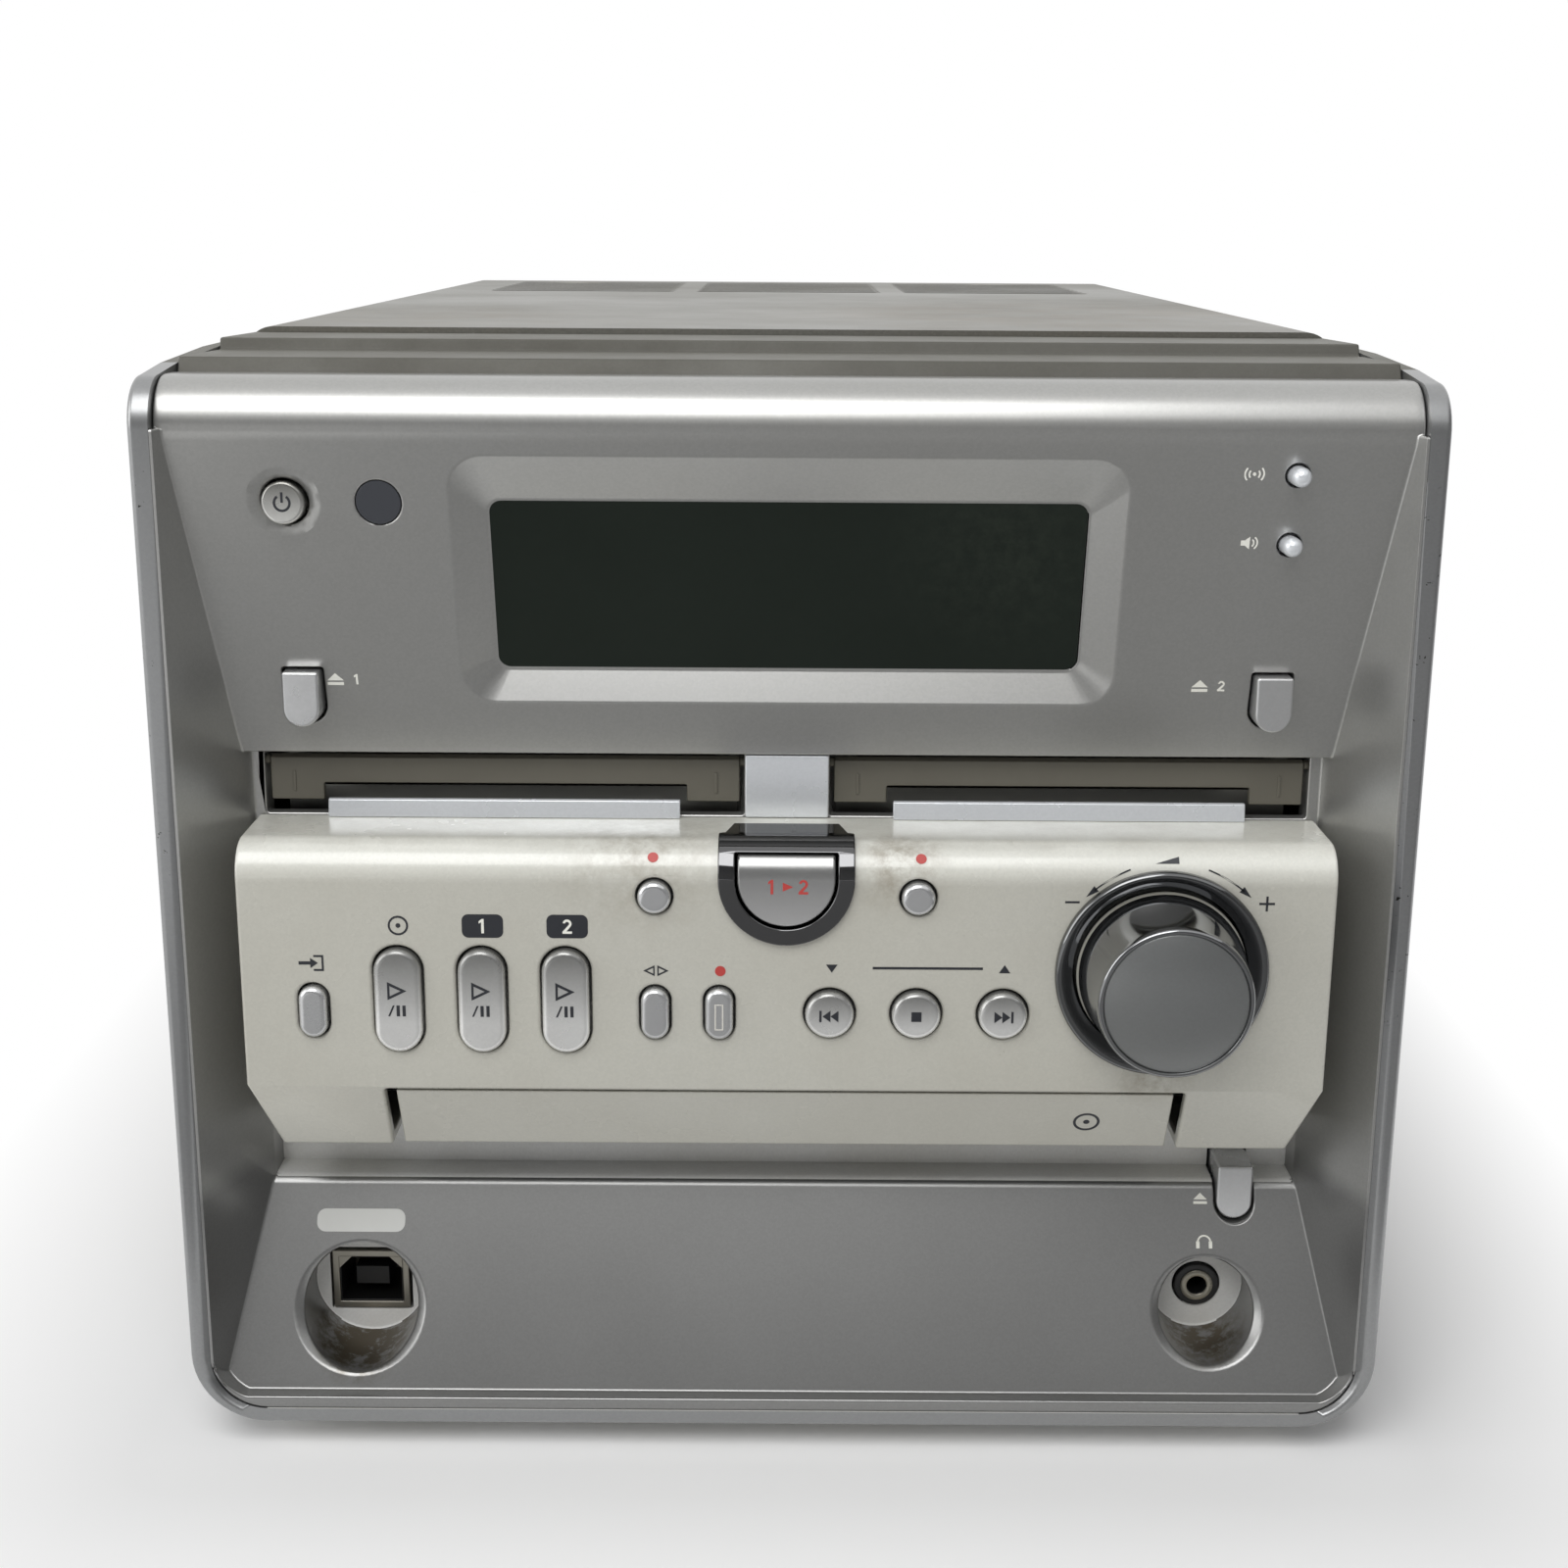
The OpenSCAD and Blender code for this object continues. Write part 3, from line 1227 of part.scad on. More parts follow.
module data_socket() color(bright) place() {
    front = recess_back - 0.4;
    long = 16;
    wall = 1.2;
    translate([-fx(recess_x), 0, recess_z]) {
        difference() {
            union() {
                along_y(front, long) square([data_w, data_h], center = true);
                along_y(recess_back + panel_wall + 0.05, 1.4) square([data_w + 4, data_h + 4], center = true);
            }
            along_y(front - over, long - 2) square([data_w - 2 * wall, data_h - 2 * wall], center = true);
        }
        along_y(front + 2, long - 3) square([5.8, 3.2], center = true);
    }
}

module phones_jack() color(black) place() {
    front = recess_back - 0.6;
    long = phones_long;
    translate([fx(recess_x), 0, recess_z]) difference() {
        union() {
            along_y(front, long) circle(phones_collar_r);
            along_y(recess_back + panel_wall + 0.05, front + long - recess_back - panel_wall)
                square([11, 11], center = true);
        }
        along_y(front - over, long - 2 + over) circle(phones_bore_r);
    }
}

// Cabinet

module top_cover() color(steel) place() {
    half = cover_w / 2;
    long = body_d - cover_y;
    vent_w = cover_w - 31;
    vent_d = 81;
    vent_y = body_d - 12 - vent_d;
    slits = 9;
    slit_step = vent_d / slits;
    side_slits = 8;
    difference() {
        along_y(cover_y, long) cover_outline(half, body_h, cover_edge_r);
        along_y(cover_y - over, long + 2 * over)
            cover_outline(half - cover_wall, body_h - cover_wall, cover_edge_r - cover_wall);
        block(-far * 5, 0, -far, far * 10, body_d + far, far + chassis_z);
        // Sunken field of air slits at the rear of the top
        for (i = [0 : slits - 1], x = [-1, 0, 1])
            translate([x * vent_w / 3, vent_y + (i + 0.5) * slit_step, body_h - cover_wall - over])
                linear_extrude(cover_wall + 2 * over) rounded(vent_w / 3 - 6, slit_step - 4.4, 2);
        // Air slits low on both sides
        for (i = [0 : side_slits - 1])
            translate([-body_w, body_d - 40 - i * 9, 34]) rotate([90, 0, 90])
                linear_extrude(2 * body_w) pill(3, 26);
    }
}

module cover_outline(half, high, r) {
    translate([-half, -far]) square([2 * half, far + high - r]);
    translate([-half + r, high - r - over]) square([2 * (half - r), r + over]);
    for (s = [-1, 1]) translate([s * (half - r), high - r]) circle(r);
}

module base_chassis() color(steel) place() {
    half = chassis_w / 2;
    long = body_d - rear_wall - 0.2 - chassis_y;
    flange = 12;
    difference() {
        union() {
            block(-half, chassis_y, chassis_z, 2 * half, long, chassis_wall);
            for (s = [-1, 1])
                block(s > 0 ? half - chassis_wall : -half, housing_d + 1, chassis_z, chassis_wall,
                    long - housing_d - 1 + chassis_y, flange);
            for (p = board_posts)
                translate([p[0], p[1], chassis_top - 0.2]) cylinder(r = 3, h = board_z - chassis_top + 0.2);
        }
        // The front corners clear the sides of the face panel
        for (s = [-1, 1])
            block(s > 0 ? chassis_front : -far - chassis_front, chassis_y - over, chassis_z - over, far,
                housing_d + 1 - chassis_y + over, far);
        for (i = [0 : 10]) translate([board_x + 18 + i * 8, board_y + 26, chassis_z - over])
            linear_extrude(chassis_wall + 2 * over) pill(3.4, 40);
    }
}

board_z = chassis_top + 6;
board_x = 6.8 - chassis_w / 2;
transformer_x = chassis_w / 2 - 36.8;
board_y = rail_y + rail_l + 12;
board_w = transformer_x - 38 - board_x;
chip_step = (board_w - 22) / 3;
board_l = body_d - 16 - board_y;
board_posts = [
    for (x = [board_x + 6, board_x + board_w - 6], y = [board_y + 6, board_y + board_l - 6]) [x, y]
];

module main_board() color(board_green) place() {
    up = board_z + board_t;
    block(board_x, board_y, board_z, board_w, board_l, board_t);
    for (i = [0 : 3]) translate([board_x + 24 + i * 16, board_y + 24, up - 0.1]) cylinder(r = 6, h = 22);
    for (i = [0 : 2]) block(board_x + 18 + i * chip_step, board_y + 50, up - 0.1, 16, 16, 2);
    block(board_x + 10, board_y + 76, up - 0.1, 60, 6, 9);
}

module heat_sink() color(black) place() {
    fins = 9;
    fin_step = 8;
    deep = 22;
    high = 70;
    translate([board_x + 20, board_y + board_l - deep - 4, board_z + board_t]) {
        block(0, 0, 0, (fins - 1) * fin_step + 2, 4, high);
        for (i = [0 : fins - 1]) block(i * fin_step, 3, 0, 2, deep - 3, high);
    }
}

module power_transformer() color(copper) place() {
    core_w = 56;
    core_d = 46;
    core_h = 48;
    translate([transformer_x, board_y + 40, chassis_top]) {
        block(-core_w / 2, -core_d / 2 + 10, 0, core_w, core_d - 20, core_h);
        block(-core_w / 2 + 10, -core_d / 2, 8, core_w - 20, core_d, core_h - 16);
        block(-core_w / 2 - 6, -core_d / 2 + 14, 0, core_w + 12, core_d - 28, 1.6);
    }
}

// Rear sockets: where each group sits
terminal_w = 48;
terminal_side = 18;
terminal_x = terminal_side + terminal_w / 2 - cover_w / 2;
terminal_z = 34;
terminal_h = 26;
jack_x = 22;
jack_z = 60;
jack_pitch = 16;
inlet_w = 32;
inlet_side = 16;
inlet_x = cover_w / 2 - inlet_side - inlet_w / 2;
inlet_z = 30;
rear_y = body_d - rear_wall;

module rear_panel() color(steel) place() {
    half = cover_w / 2 - cover_wall - 0.3;
    difference() {
        along_y(rear_y, rear_wall)
            intersection() {
                cover_outline(half, body_h - cover_wall - 0.3, cover_edge_r - cover_wall);
                translate([-half, chassis_z]) square([2 * half, body_h]);
            }
        translate([terminal_x, 0, terminal_z]) along_y(rear_y - over, rear_wall + 2 * over)
            square([terminal_w + 0.4, terminal_h + 0.4], center = true);
        translate([inlet_x, 0, inlet_z]) along_y(rear_y - over, rear_wall + 2 * over)
            square([24.4, 14.4], center = true);
        for (p = jack_places)
            translate([p[0], 0, p[1]]) along_y(rear_y - over, rear_wall + 2 * over) circle(4.7);
        // Air slits
        for (i = [0 : 13])
            translate([-60 + i * 9.2, 0, 140]) along_y(rear_y - over, rear_wall + 2 * over) pill(3.6, 50);
    }
}

jack_places = [for (i = [0 : 2], j = [0, 1]) [jack_x + i * jack_pitch, jack_z + j * jack_pitch]];

module speaker_terminals() color(black) place() {
    ways = 4;
    step = terminal_w / ways;
    translate([terminal_x, 0, terminal_z]) {
        difference() {
            union() {
                along_y(rear_y - 10, 10 + rear_wall + 5) square([terminal_w, terminal_h], center = true);
                along_y(body_d + 0.05, 1.4) square([terminal_w + 4, terminal_h + 4], center = true);
            }
            for (i = [0 : ways - 1])
                translate([(i - (ways - 1) / 2) * step, 0, -6]) along_y(rear_y, far) circle(2.2);
        }
        for (i = [0 : ways - 1]) translate([(i - (ways - 1) / 2) * step, 0, 4])
            along_y(body_d + 4.9 - rear_wall, jack_out - 5 + rear_wall + 0.1) rounded(step - 3, 10, 1);
    }
}

module signal_jacks() color(bright) place() {
    for (p = jack_places) translate([p[0], 0, p[1]]) difference() {
        union() {
            along_y(rear_y - 8, 8 + rear_wall + 7) circle(4.1);
            along_y(rear_y - 8, 7.8) square([12, 12], center = true);
        }
        along_y(rear_y - 2, far) circle(1.7);
    }
}

module mains_inlet() color(black) place() {
    translate([inlet_x, 0, inlet_z]) {
        difference() {
            union() {
                along_y(rear_y - 16, 16 + rear_wall) square([24, 14], center = true);
                along_y(body_d + 0.05, 1.6) square([inlet_w, 18], center = true);
                along_y(rear_y, rear_wall + 1) square([24, 14], center = true);
            }
            for (s = [-1, 1]) translate([s * 4.3, 0, 0]) along_y(rear_y - 8, far) circle(4.2);
            along_y(rear_y - 8, far) square([8.6, 8.4], center = true);
        }
        for (s = [-1, 1]) translate([s * 4.3, 0, 0]) along_y(rear_y - 8.5, 8) circle(1.2);
    }
}

foot_x = cover_w / 2 - 20;
foot_places = [for (s = [-1, 1]) [s * foot_x, 28, 0], for (s = [-1, 1]) [s * foot_x, body_d - 34, chassis_z]];

module feet() color(black) place() {
    edge = 1;
    for (p = foot_places) translate([p[0], p[1], -foot_h]) rotate_extrude() polygon([
        [0, 0], [foot_r - edge, 0], [foot_r, edge], [foot_r, foot_h + p[2]], [0, foot_h + p[2]]
    ]);
}

module cover_screws() color(steel) place() {
    head_r = 3;
    side = cover_w / 2 - 8;
    high = body_h - 13.3;
    low = 20;
    places = [
        [-side, high], [0, body_h - 8.3], [side, high], [-side, low], [side, low], [-side, high / 2 + 8.5],
        [side, high / 2 + 8.5]
    ];
    for (p = places) translate([p[0], body_d + 0.02, p[1]]) rotate([-90, 0, 0]) difference() {
        cylinder(r1 = head_r, r2 = head_r - 0.8, h = 1.8);
        translate([-2, -0.35, 1.1]) cube([4, 0.7, 1]);
        translate([-0.35, -2, 1.1]) cube([0.7, 4, 1]);
    }
}

outer_frame();
front_panel();
control_panel();
display_lens();
display_module();
remote_window();
slot_bridge();
slot_lips();
volume_ring();
copy_ring_trim();
data_socket();
phones_jack();
top_cover();
base_chassis();
rear_panel();
feet();
switch_board();
volume_encoder();
main_board();
power_transformer();
heat_sink();
drive_shelf();
loader_frame();
clamp_bridge();
pickup_rods();
left_drive();
right_drive();
speaker_terminals();
signal_jacks();
mains_inlet();
cover_screws();
clamper();
spindle_motor();
turntable();
pickup_sled();
drive_gear();
disc_tray();
tray_front();
left_flap();
right_flap();
volume_knob();
encoder_shaft();
power_button();
upper_ball_button();
lower_ball_button();
left_eject_button();
right_eject_button();
tray_eject_button();
source_button();
first_play_button();
second_play_button();
third_play_button();
tape_button();
tape_record_button();
record_mode_button();
record_button();
copy_button();
skip_back_button();
stop_button();
skip_forward_button();
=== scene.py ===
"""Looks of a compact hi-fi unit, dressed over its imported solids.

The solids give every size and place. Visible nodes are copied, cleaned, softened at their edges and
painted, and small pieces such as printed signs, contacts and rims are modelled over them.
"""

import logging
import math
from contextlib import contextmanager
from dataclasses import dataclass, field, replace
from enum import Enum
from typing import Callable, Iterator, Sequence

import bpy
from mathutils import Matrix, Vector


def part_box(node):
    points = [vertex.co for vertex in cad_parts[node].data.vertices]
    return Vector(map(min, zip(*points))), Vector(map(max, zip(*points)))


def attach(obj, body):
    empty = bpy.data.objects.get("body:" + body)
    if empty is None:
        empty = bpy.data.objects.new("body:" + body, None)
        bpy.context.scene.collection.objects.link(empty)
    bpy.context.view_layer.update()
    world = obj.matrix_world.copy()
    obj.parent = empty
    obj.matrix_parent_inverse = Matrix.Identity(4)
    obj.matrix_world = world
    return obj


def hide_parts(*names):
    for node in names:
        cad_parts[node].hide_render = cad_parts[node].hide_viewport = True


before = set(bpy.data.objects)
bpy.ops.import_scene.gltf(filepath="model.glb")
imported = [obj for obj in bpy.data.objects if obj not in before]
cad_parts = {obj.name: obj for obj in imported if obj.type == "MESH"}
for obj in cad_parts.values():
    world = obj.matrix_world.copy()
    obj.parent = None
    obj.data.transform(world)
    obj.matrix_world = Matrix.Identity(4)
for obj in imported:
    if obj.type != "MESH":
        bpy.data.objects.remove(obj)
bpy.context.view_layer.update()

Point = tuple[float, float]
Spot = tuple[float, float, float]
Colour = tuple[int, int, int]
Piece = bpy.types.Object
Socket = bpy.types.NodeSocket

LOG = logging.getLogger("hifi")
MM = 0.001
LOOK = "look_"
QUARTER = math.pi / 2
MERGE = 1e-6
FLAT = 0.05
FACING = 0.99
SMOOTH_ANGLE = 40.0
NORMAL_WEIGHT = 90
INK = 0.05
RIM = 0.2
RIM_SIDE = 93.0
RIM_LOW = 8.0
ROLL_R = 6.0
ROLL_HEIGHT = 101.0
COAT_ROUGHNESS = 0.12
BUMP_DISTANCE = 0.0001


# Places on the object

FRONT_Y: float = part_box("outer_frame")[0].y
BASE_Z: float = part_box("outer_frame")[0].z


def at(x: float, depth: float, height: float) -> Vector:
    """A point in metres, from millimetres to the right, behind the front plane and above the underside."""
    return Vector((x * MM, FRONT_Y + depth * MM, BASE_Z + height * MM))


def depth_height(point: Vector) -> Point:
    """Depth behind the front plane and height above the underside of a point, in millimetres."""
    return (point.y - FRONT_Y) / MM, (point.z - BASE_Z) / MM


def facing(spot: Vector, turn: float = QUARTER) -> Matrix:
    """Frame at a point, turned about the x axis so that its z axis looks forward."""
    return Matrix.Translation(spot) @ Matrix.Rotation(turn, 4, "X")


class Face(Enum):
    """Flat faces that carry prints: depth and height of a point on the face, and its lean in degrees."""

    UPPER = (17.0, 118.6, -14.895)
    CONTROL = (0.0, 80.0, 0.0)
    STRIP = (7.8, 50.4, -27.7)
    LOWER = (2.6, 5.2, 26.003)
    ROLL = (1.38, 104.82, 39.5)

    def place(self, x: float, height: float, proud: float = 0.0) -> Matrix:
        """Local frame on the face: x to the right, y up along the face, z out of it.

        Args:
            x: Millimetres to the right of the middle.
            height: Millimetres above the frame's underside.
            proud: Millimetres out of the face.

        Returns:
            The matrix that carries a flat drawing onto the face.
        """
        depth, low, lean = self.value
        tilt = math.radians(lean)
        spot = at(x, depth + (height - low) * math.tan(tilt), height)
        return facing(spot, QUARTER - tilt) @ Matrix.Translation((0, 0, proud * MM))


# Modelling bench


def clear_selection() -> None:
    """Deselects every object."""
    bpy.ops.object.select_all(action="DESELECT")


def pick(obj: Piece) -> None:
    """Makes one object the only selected and active one."""
    clear_selection()
    obj.select_set(True)
    bpy.context.view_layer.objects.active = obj


@contextmanager
def editing(obj: Piece) -> Iterator[None]:
    """Opens an object in edit mode with everything selected, and closes it again."""
    pick(obj)
    bpy.ops.object.mode_set(mode="EDIT")
    bpy.ops.mesh.select_all(action="SELECT")
    yield
    bpy.ops.object.mode_set(mode="OBJECT")


def even_normals(obj: Piece) -> None:
    """Lets the large faces of a piece set its shading, so that flat faces look flat."""
    pick(obj)
    even = obj.modifiers.new("even", "WEIGHTED_NORMAL")
    even.mode = "FACE_AREA"
    even.weight = NORMAL_WEIGHT
    even.keep_sharp = True
    bpy.ops.object.modifier_apply(modifier=even.name)


def every_edge(first: Vector, second: Vector) -> bool:
    """Chooses every edge."""
    return True


@dataclass(frozen=True)
class Edges:
    """How the edges of a piece are softened.

    Attributes:
        width: Bevel width in millimetres; 0 leaves the edges sharp.
        segments: Faces across the bevel.
        angle: Least angle of a bevelled edge, in degrees.
        chosen: Tells from an edge's two ends whether it is bevelled.
    """

    width: float = 0.3
    segments: int = 2
    angle: float = 32.0
    chosen: Callable[[Vector, Vector], bool] = every_edge

    def soften(self, obj: Piece) -> None:
        """Bevels the chosen edges of a piece, and smooths its faces."""
        if self.width > 0:
            self._bevel(obj)
        pick(obj)
        bpy.ops.object.shade_smooth_by_angle(angle=math.radians(SMOOTH_ANGLE), keep_sharp_edges=False)
        if self.width > 0:
            even_normals(obj)

    def _bevel(self, obj: Piece) -> None:
        """Bevels the sharp edges that are chosen by their ends."""
        with editing(obj):
            bpy.ops.mesh.select_mode(type="EDGE")
            bpy.ops.mesh.select_all(action="DESELECT")
            bpy.ops.mesh.edges_select_sharp(sharpness=math.radians(self.angle))
            bpy.ops.object.mode_set(mode="OBJECT")
            points = obj.data.vertices
            for face in obj.data.polygons:
                face.select = False
            for edge in obj.data.edges:
                edge.select = edge.select and self.chosen(*(points[i].co for i in edge.vertices))
            bpy.ops.object.mode_set(mode="EDIT")
            bpy.ops.mesh.bevel(offset=self.width * MM, segments=self.segments, loop_slide=False,
                               clamp_overlap=False, miter_outer="ARC")
            bpy.ops.mesh.select_mode(type="VERT")


SHARP = Edges(0.0)


def merge_flat(obj: Piece, angle: float) -> None:
    """Turns flat neighbouring triangles into single faces, apart from the thin front rims of the mouldings.

    Args:
        obj: The piece.
        angle: Angle between triangles that still count as flat, in degrees.
    """
    with editing(obj):
        bpy.ops.mesh.select_mode(type="FACE")
        bpy.ops.object.mode_set(mode="OBJECT")
        for face in obj.data.polygons:
            outer = abs(face.center.x) > RIM_SIDE * MM or face.center.z < BASE_Z + RIM_LOW * MM
            face.select = not (outer and face.normal.y < -FACING and face.center.y < FRONT_Y + RIM * MM)
        bpy.ops.object.mode_set(mode="EDIT")
        bpy.ops.mesh.dissolve_limited(angle_limit=math.radians(angle))
        bpy.ops.mesh.select_mode(type="VERT")


def copy_node(node: str, name: str, edges: Edges, flatten: float) -> Piece:
    """Copies a CAD node, merges its loose triangles and softens its edges.

    Args:
        node: The node's name.
        name: Name of the new piece.
        edges: How its edges are softened.
        flatten: Angle below which neighbouring triangles become one face; 0 keeps the triangles.

    Returns:
        The new piece.
    """
    obj = bpy.data.objects.new(name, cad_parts[node].data.copy())
    bpy.context.scene.collection.objects.link(obj)
    with editing(obj):
        bpy.ops.mesh.remove_doubles(threshold=MERGE)
    if flatten > 0:
        merge_flat(obj, flatten)
    edges.soften(obj)
    if edges.width <= 0:
        even_normals(obj)
    return obj


def ring_of(name: str, points: Sequence[Spot], fill: str) -> Piece:
    """A closed ring through points in metres, from which a piece is raised or spun."""
    clear_selection()
    bpy.ops.mesh.primitive_circle_add(vertices=len(points), radius=1.0, fill_type=fill)
    obj = bpy.context.object
    obj.name = name
    for vertex, point in zip(obj.data.vertices, points):
        vertex.co = point
    return obj


def slab(name: str, outline: Sequence[Point], thick: float, place: Matrix) -> Piece:
    """A flat plate with any outline, raised from a filled ring of points.

    Args:
        name: Name of the piece.
        outline: Corner points in millimetres.
        thick: Thickness in millimetres.
        place: Frame that carries the drawing to its place.

    Returns:
        The plate.
    """
    obj = ring_of(name, [(u * MM, v * MM, 0.0) for u, v in outline], "NGON")
    with editing(obj):
        bpy.ops.mesh.extrude_region_move(TRANSFORM_OT_translate={"value": (0, 0, thick * MM)})
        bpy.ops.mesh.select_all(action="SELECT")
        bpy.ops.mesh.normals_make_consistent(inside=False)
    SHARP.soften(obj)
    obj.data.transform(place)
    return obj


def turned(name: str, profile: Sequence[Point], place: Matrix, steps: int) -> Piece:
    """A turned piece: a profile of radius and height is spun round the local z axis.

    Args:
        name: Name of the piece.
        profile: Points of radius and height in millimetres; ends on the axis leave it closed.
        place: Frame that carries the piece to its place.
        steps: Faces round the axis.

    Returns:
        The turned piece.
    """
    obj = ring_of(name, [(radius * MM, 0.0, height * MM) for radius, height in profile], "NOTHING")
    on_axis = {0, len(profile) - 1} if profile[0][0] == profile[-1][0] == 0 else set()
    with editing(obj):
        if on_axis:
            bpy.ops.mesh.select_mode(type="EDGE")
            bpy.ops.mesh.select_all(action="DESELECT")
            bpy.ops.object.mode_set(mode="OBJECT")
            for edge in obj.data.edges:
                edge.select = set(edge.vertices) == on_axis
            bpy.ops.object.mode_set(mode="EDIT")
            bpy.ops.mesh.delete(type="EDGE_FACE")
            bpy.ops.mesh.select_mode(type="VERT")
            bpy.ops.mesh.select_all(action="SELECT")
        bpy.ops.mesh.spin(steps=steps, angle=2 * math.pi, center=(0, 0, 0), axis=(0, 0, 1), use_auto_merge=True)
        bpy.ops.mesh.select_all(action="SELECT")
        bpy.ops.mesh.remove_doubles(threshold=MERGE)
        bpy.ops.mesh.normals_make_consistent(inside=False)
    SHARP.soften(obj)
    obj.data.transform(place)
    return obj


def brick(name: str, low: Vector, high: Vector, bevel: float) -> Piece:
    """A block with softened edges.

    Args:
        name: Name of the piece.
        low: Lowest corner in metres.
        high: Highest corner in metres.
        bevel: Bevel width in millimetres.

    Returns:
        The block.
    """
    clear_selection()
    bpy.ops.mesh.primitive_cube_add(size=1.0, location=(low + high) / 2, scale=high - low)
    obj = bpy.context.object
    obj.name = name
    bpy.ops.object.transform_apply(location=True, rotation=True, scale=True)
    Edges(bevel, 3).soften(obj)
    return obj


def joined(name: str, parts: Sequence[Piece]) -> Piece:
    """Joins pieces into one object."""
    clear_selection()
    for part in parts:
        part.select_set(True)
    bpy.context.view_layer.objects.active = parts[0]
    if len(parts) > 1:
        bpy.ops.object.join()
    parts[0].name = name
    return parts[0]


def wrap_roll(obj: Piece, radius: float) -> None:
    """Lays a flat drawing over the control panel's rolled top edge, of a radius in millimetres."""
    for vertex in obj.data.vertices:
        rise = depth_height(vertex.co)[1] - ROLL_HEIGHT
        if rise > 0:
            vertex.co.y += (radius - math.sqrt(max(radius ** 2 - rise ** 2, 0.0))) * MM


# Outlines in millimetres


def arc(cx: float, cy: float, r: float, start: float, end: float, count: int) -> list[Point]:
    """Points along an arc, its ends included, with angles in degrees."""
    turns = [math.radians(start + (end - start) * i / (count - 1)) for i in range(count)]
    return [(cx + r * math.cos(t), cy + r * math.sin(t)) for t in turns]


def round_box(w: float, h: float, r: float, count: int = 7) -> list[Point]:
    """Outline of a rounded rectangle about its middle."""
    x, y = w / 2 - r, h / 2 - r
    corners = ((x, y, 0), (-x, y, 90), (-x, -y, 180), (x, -y, 270))
    return [p for cx, cy, a in corners for p in arc(cx, cy, r, a, a + 90, count)]


def ring_part(r0: float, r1: float, start: float, end: float, count: int = 24) -> list[Point]:
    """Outline of a part of a flat ring."""
    return arc(0, 0, r1, start, end, count) + arc(0, 0, r0, end, start, count)


def moved(outline: Sequence[Point], x: float, y: float = 0.0) -> list[Point]:
    """An outline shifted in its plane."""
    return [(u + x, v + y) for u, v in outline]


def bar(x0: float, y0: float, x1: float, y1: float) -> list[Point]:
    """Outline of an upright rectangle from its lower left to its upper right corner."""
    return [(x0, y0), (x1, y0), (x1, y1), (x0, y1)]


HOLLOW_TIP = [(-0.5, -0.5), (0.5, 0.0), (-0.5, 0.5), (-0.5, 0.34), (0.2, 0.0), (-0.38, -0.29), (-0.38, 0.28),
              (-0.5, 0.34)]
LEFT_TIP = [(-0.55, 0), (0.0, -0.42), (0.0, 0.42)]
RIGHT_TIP = [(0.55, 0), (0.0, 0.42), (0.0, -0.42)]
FIGURE_ONE = [(-0.08, -0.5), (0.1, -0.5), (0.1, 0.5), (-0.04, 0.5), (-0.24, 0.34), (-0.24, 0.18), (-0.08, 0.28)]
FIGURE_TWO = [*arc(0, 0.2, 0.3, 170, -40, 14), (-0.05, -0.34), (0.32, -0.34), (0.32, -0.5), (-0.32, -0.5),
              (-0.32, -0.36), *arc(0, 0.2, 0.14, -40, 170, 10)]


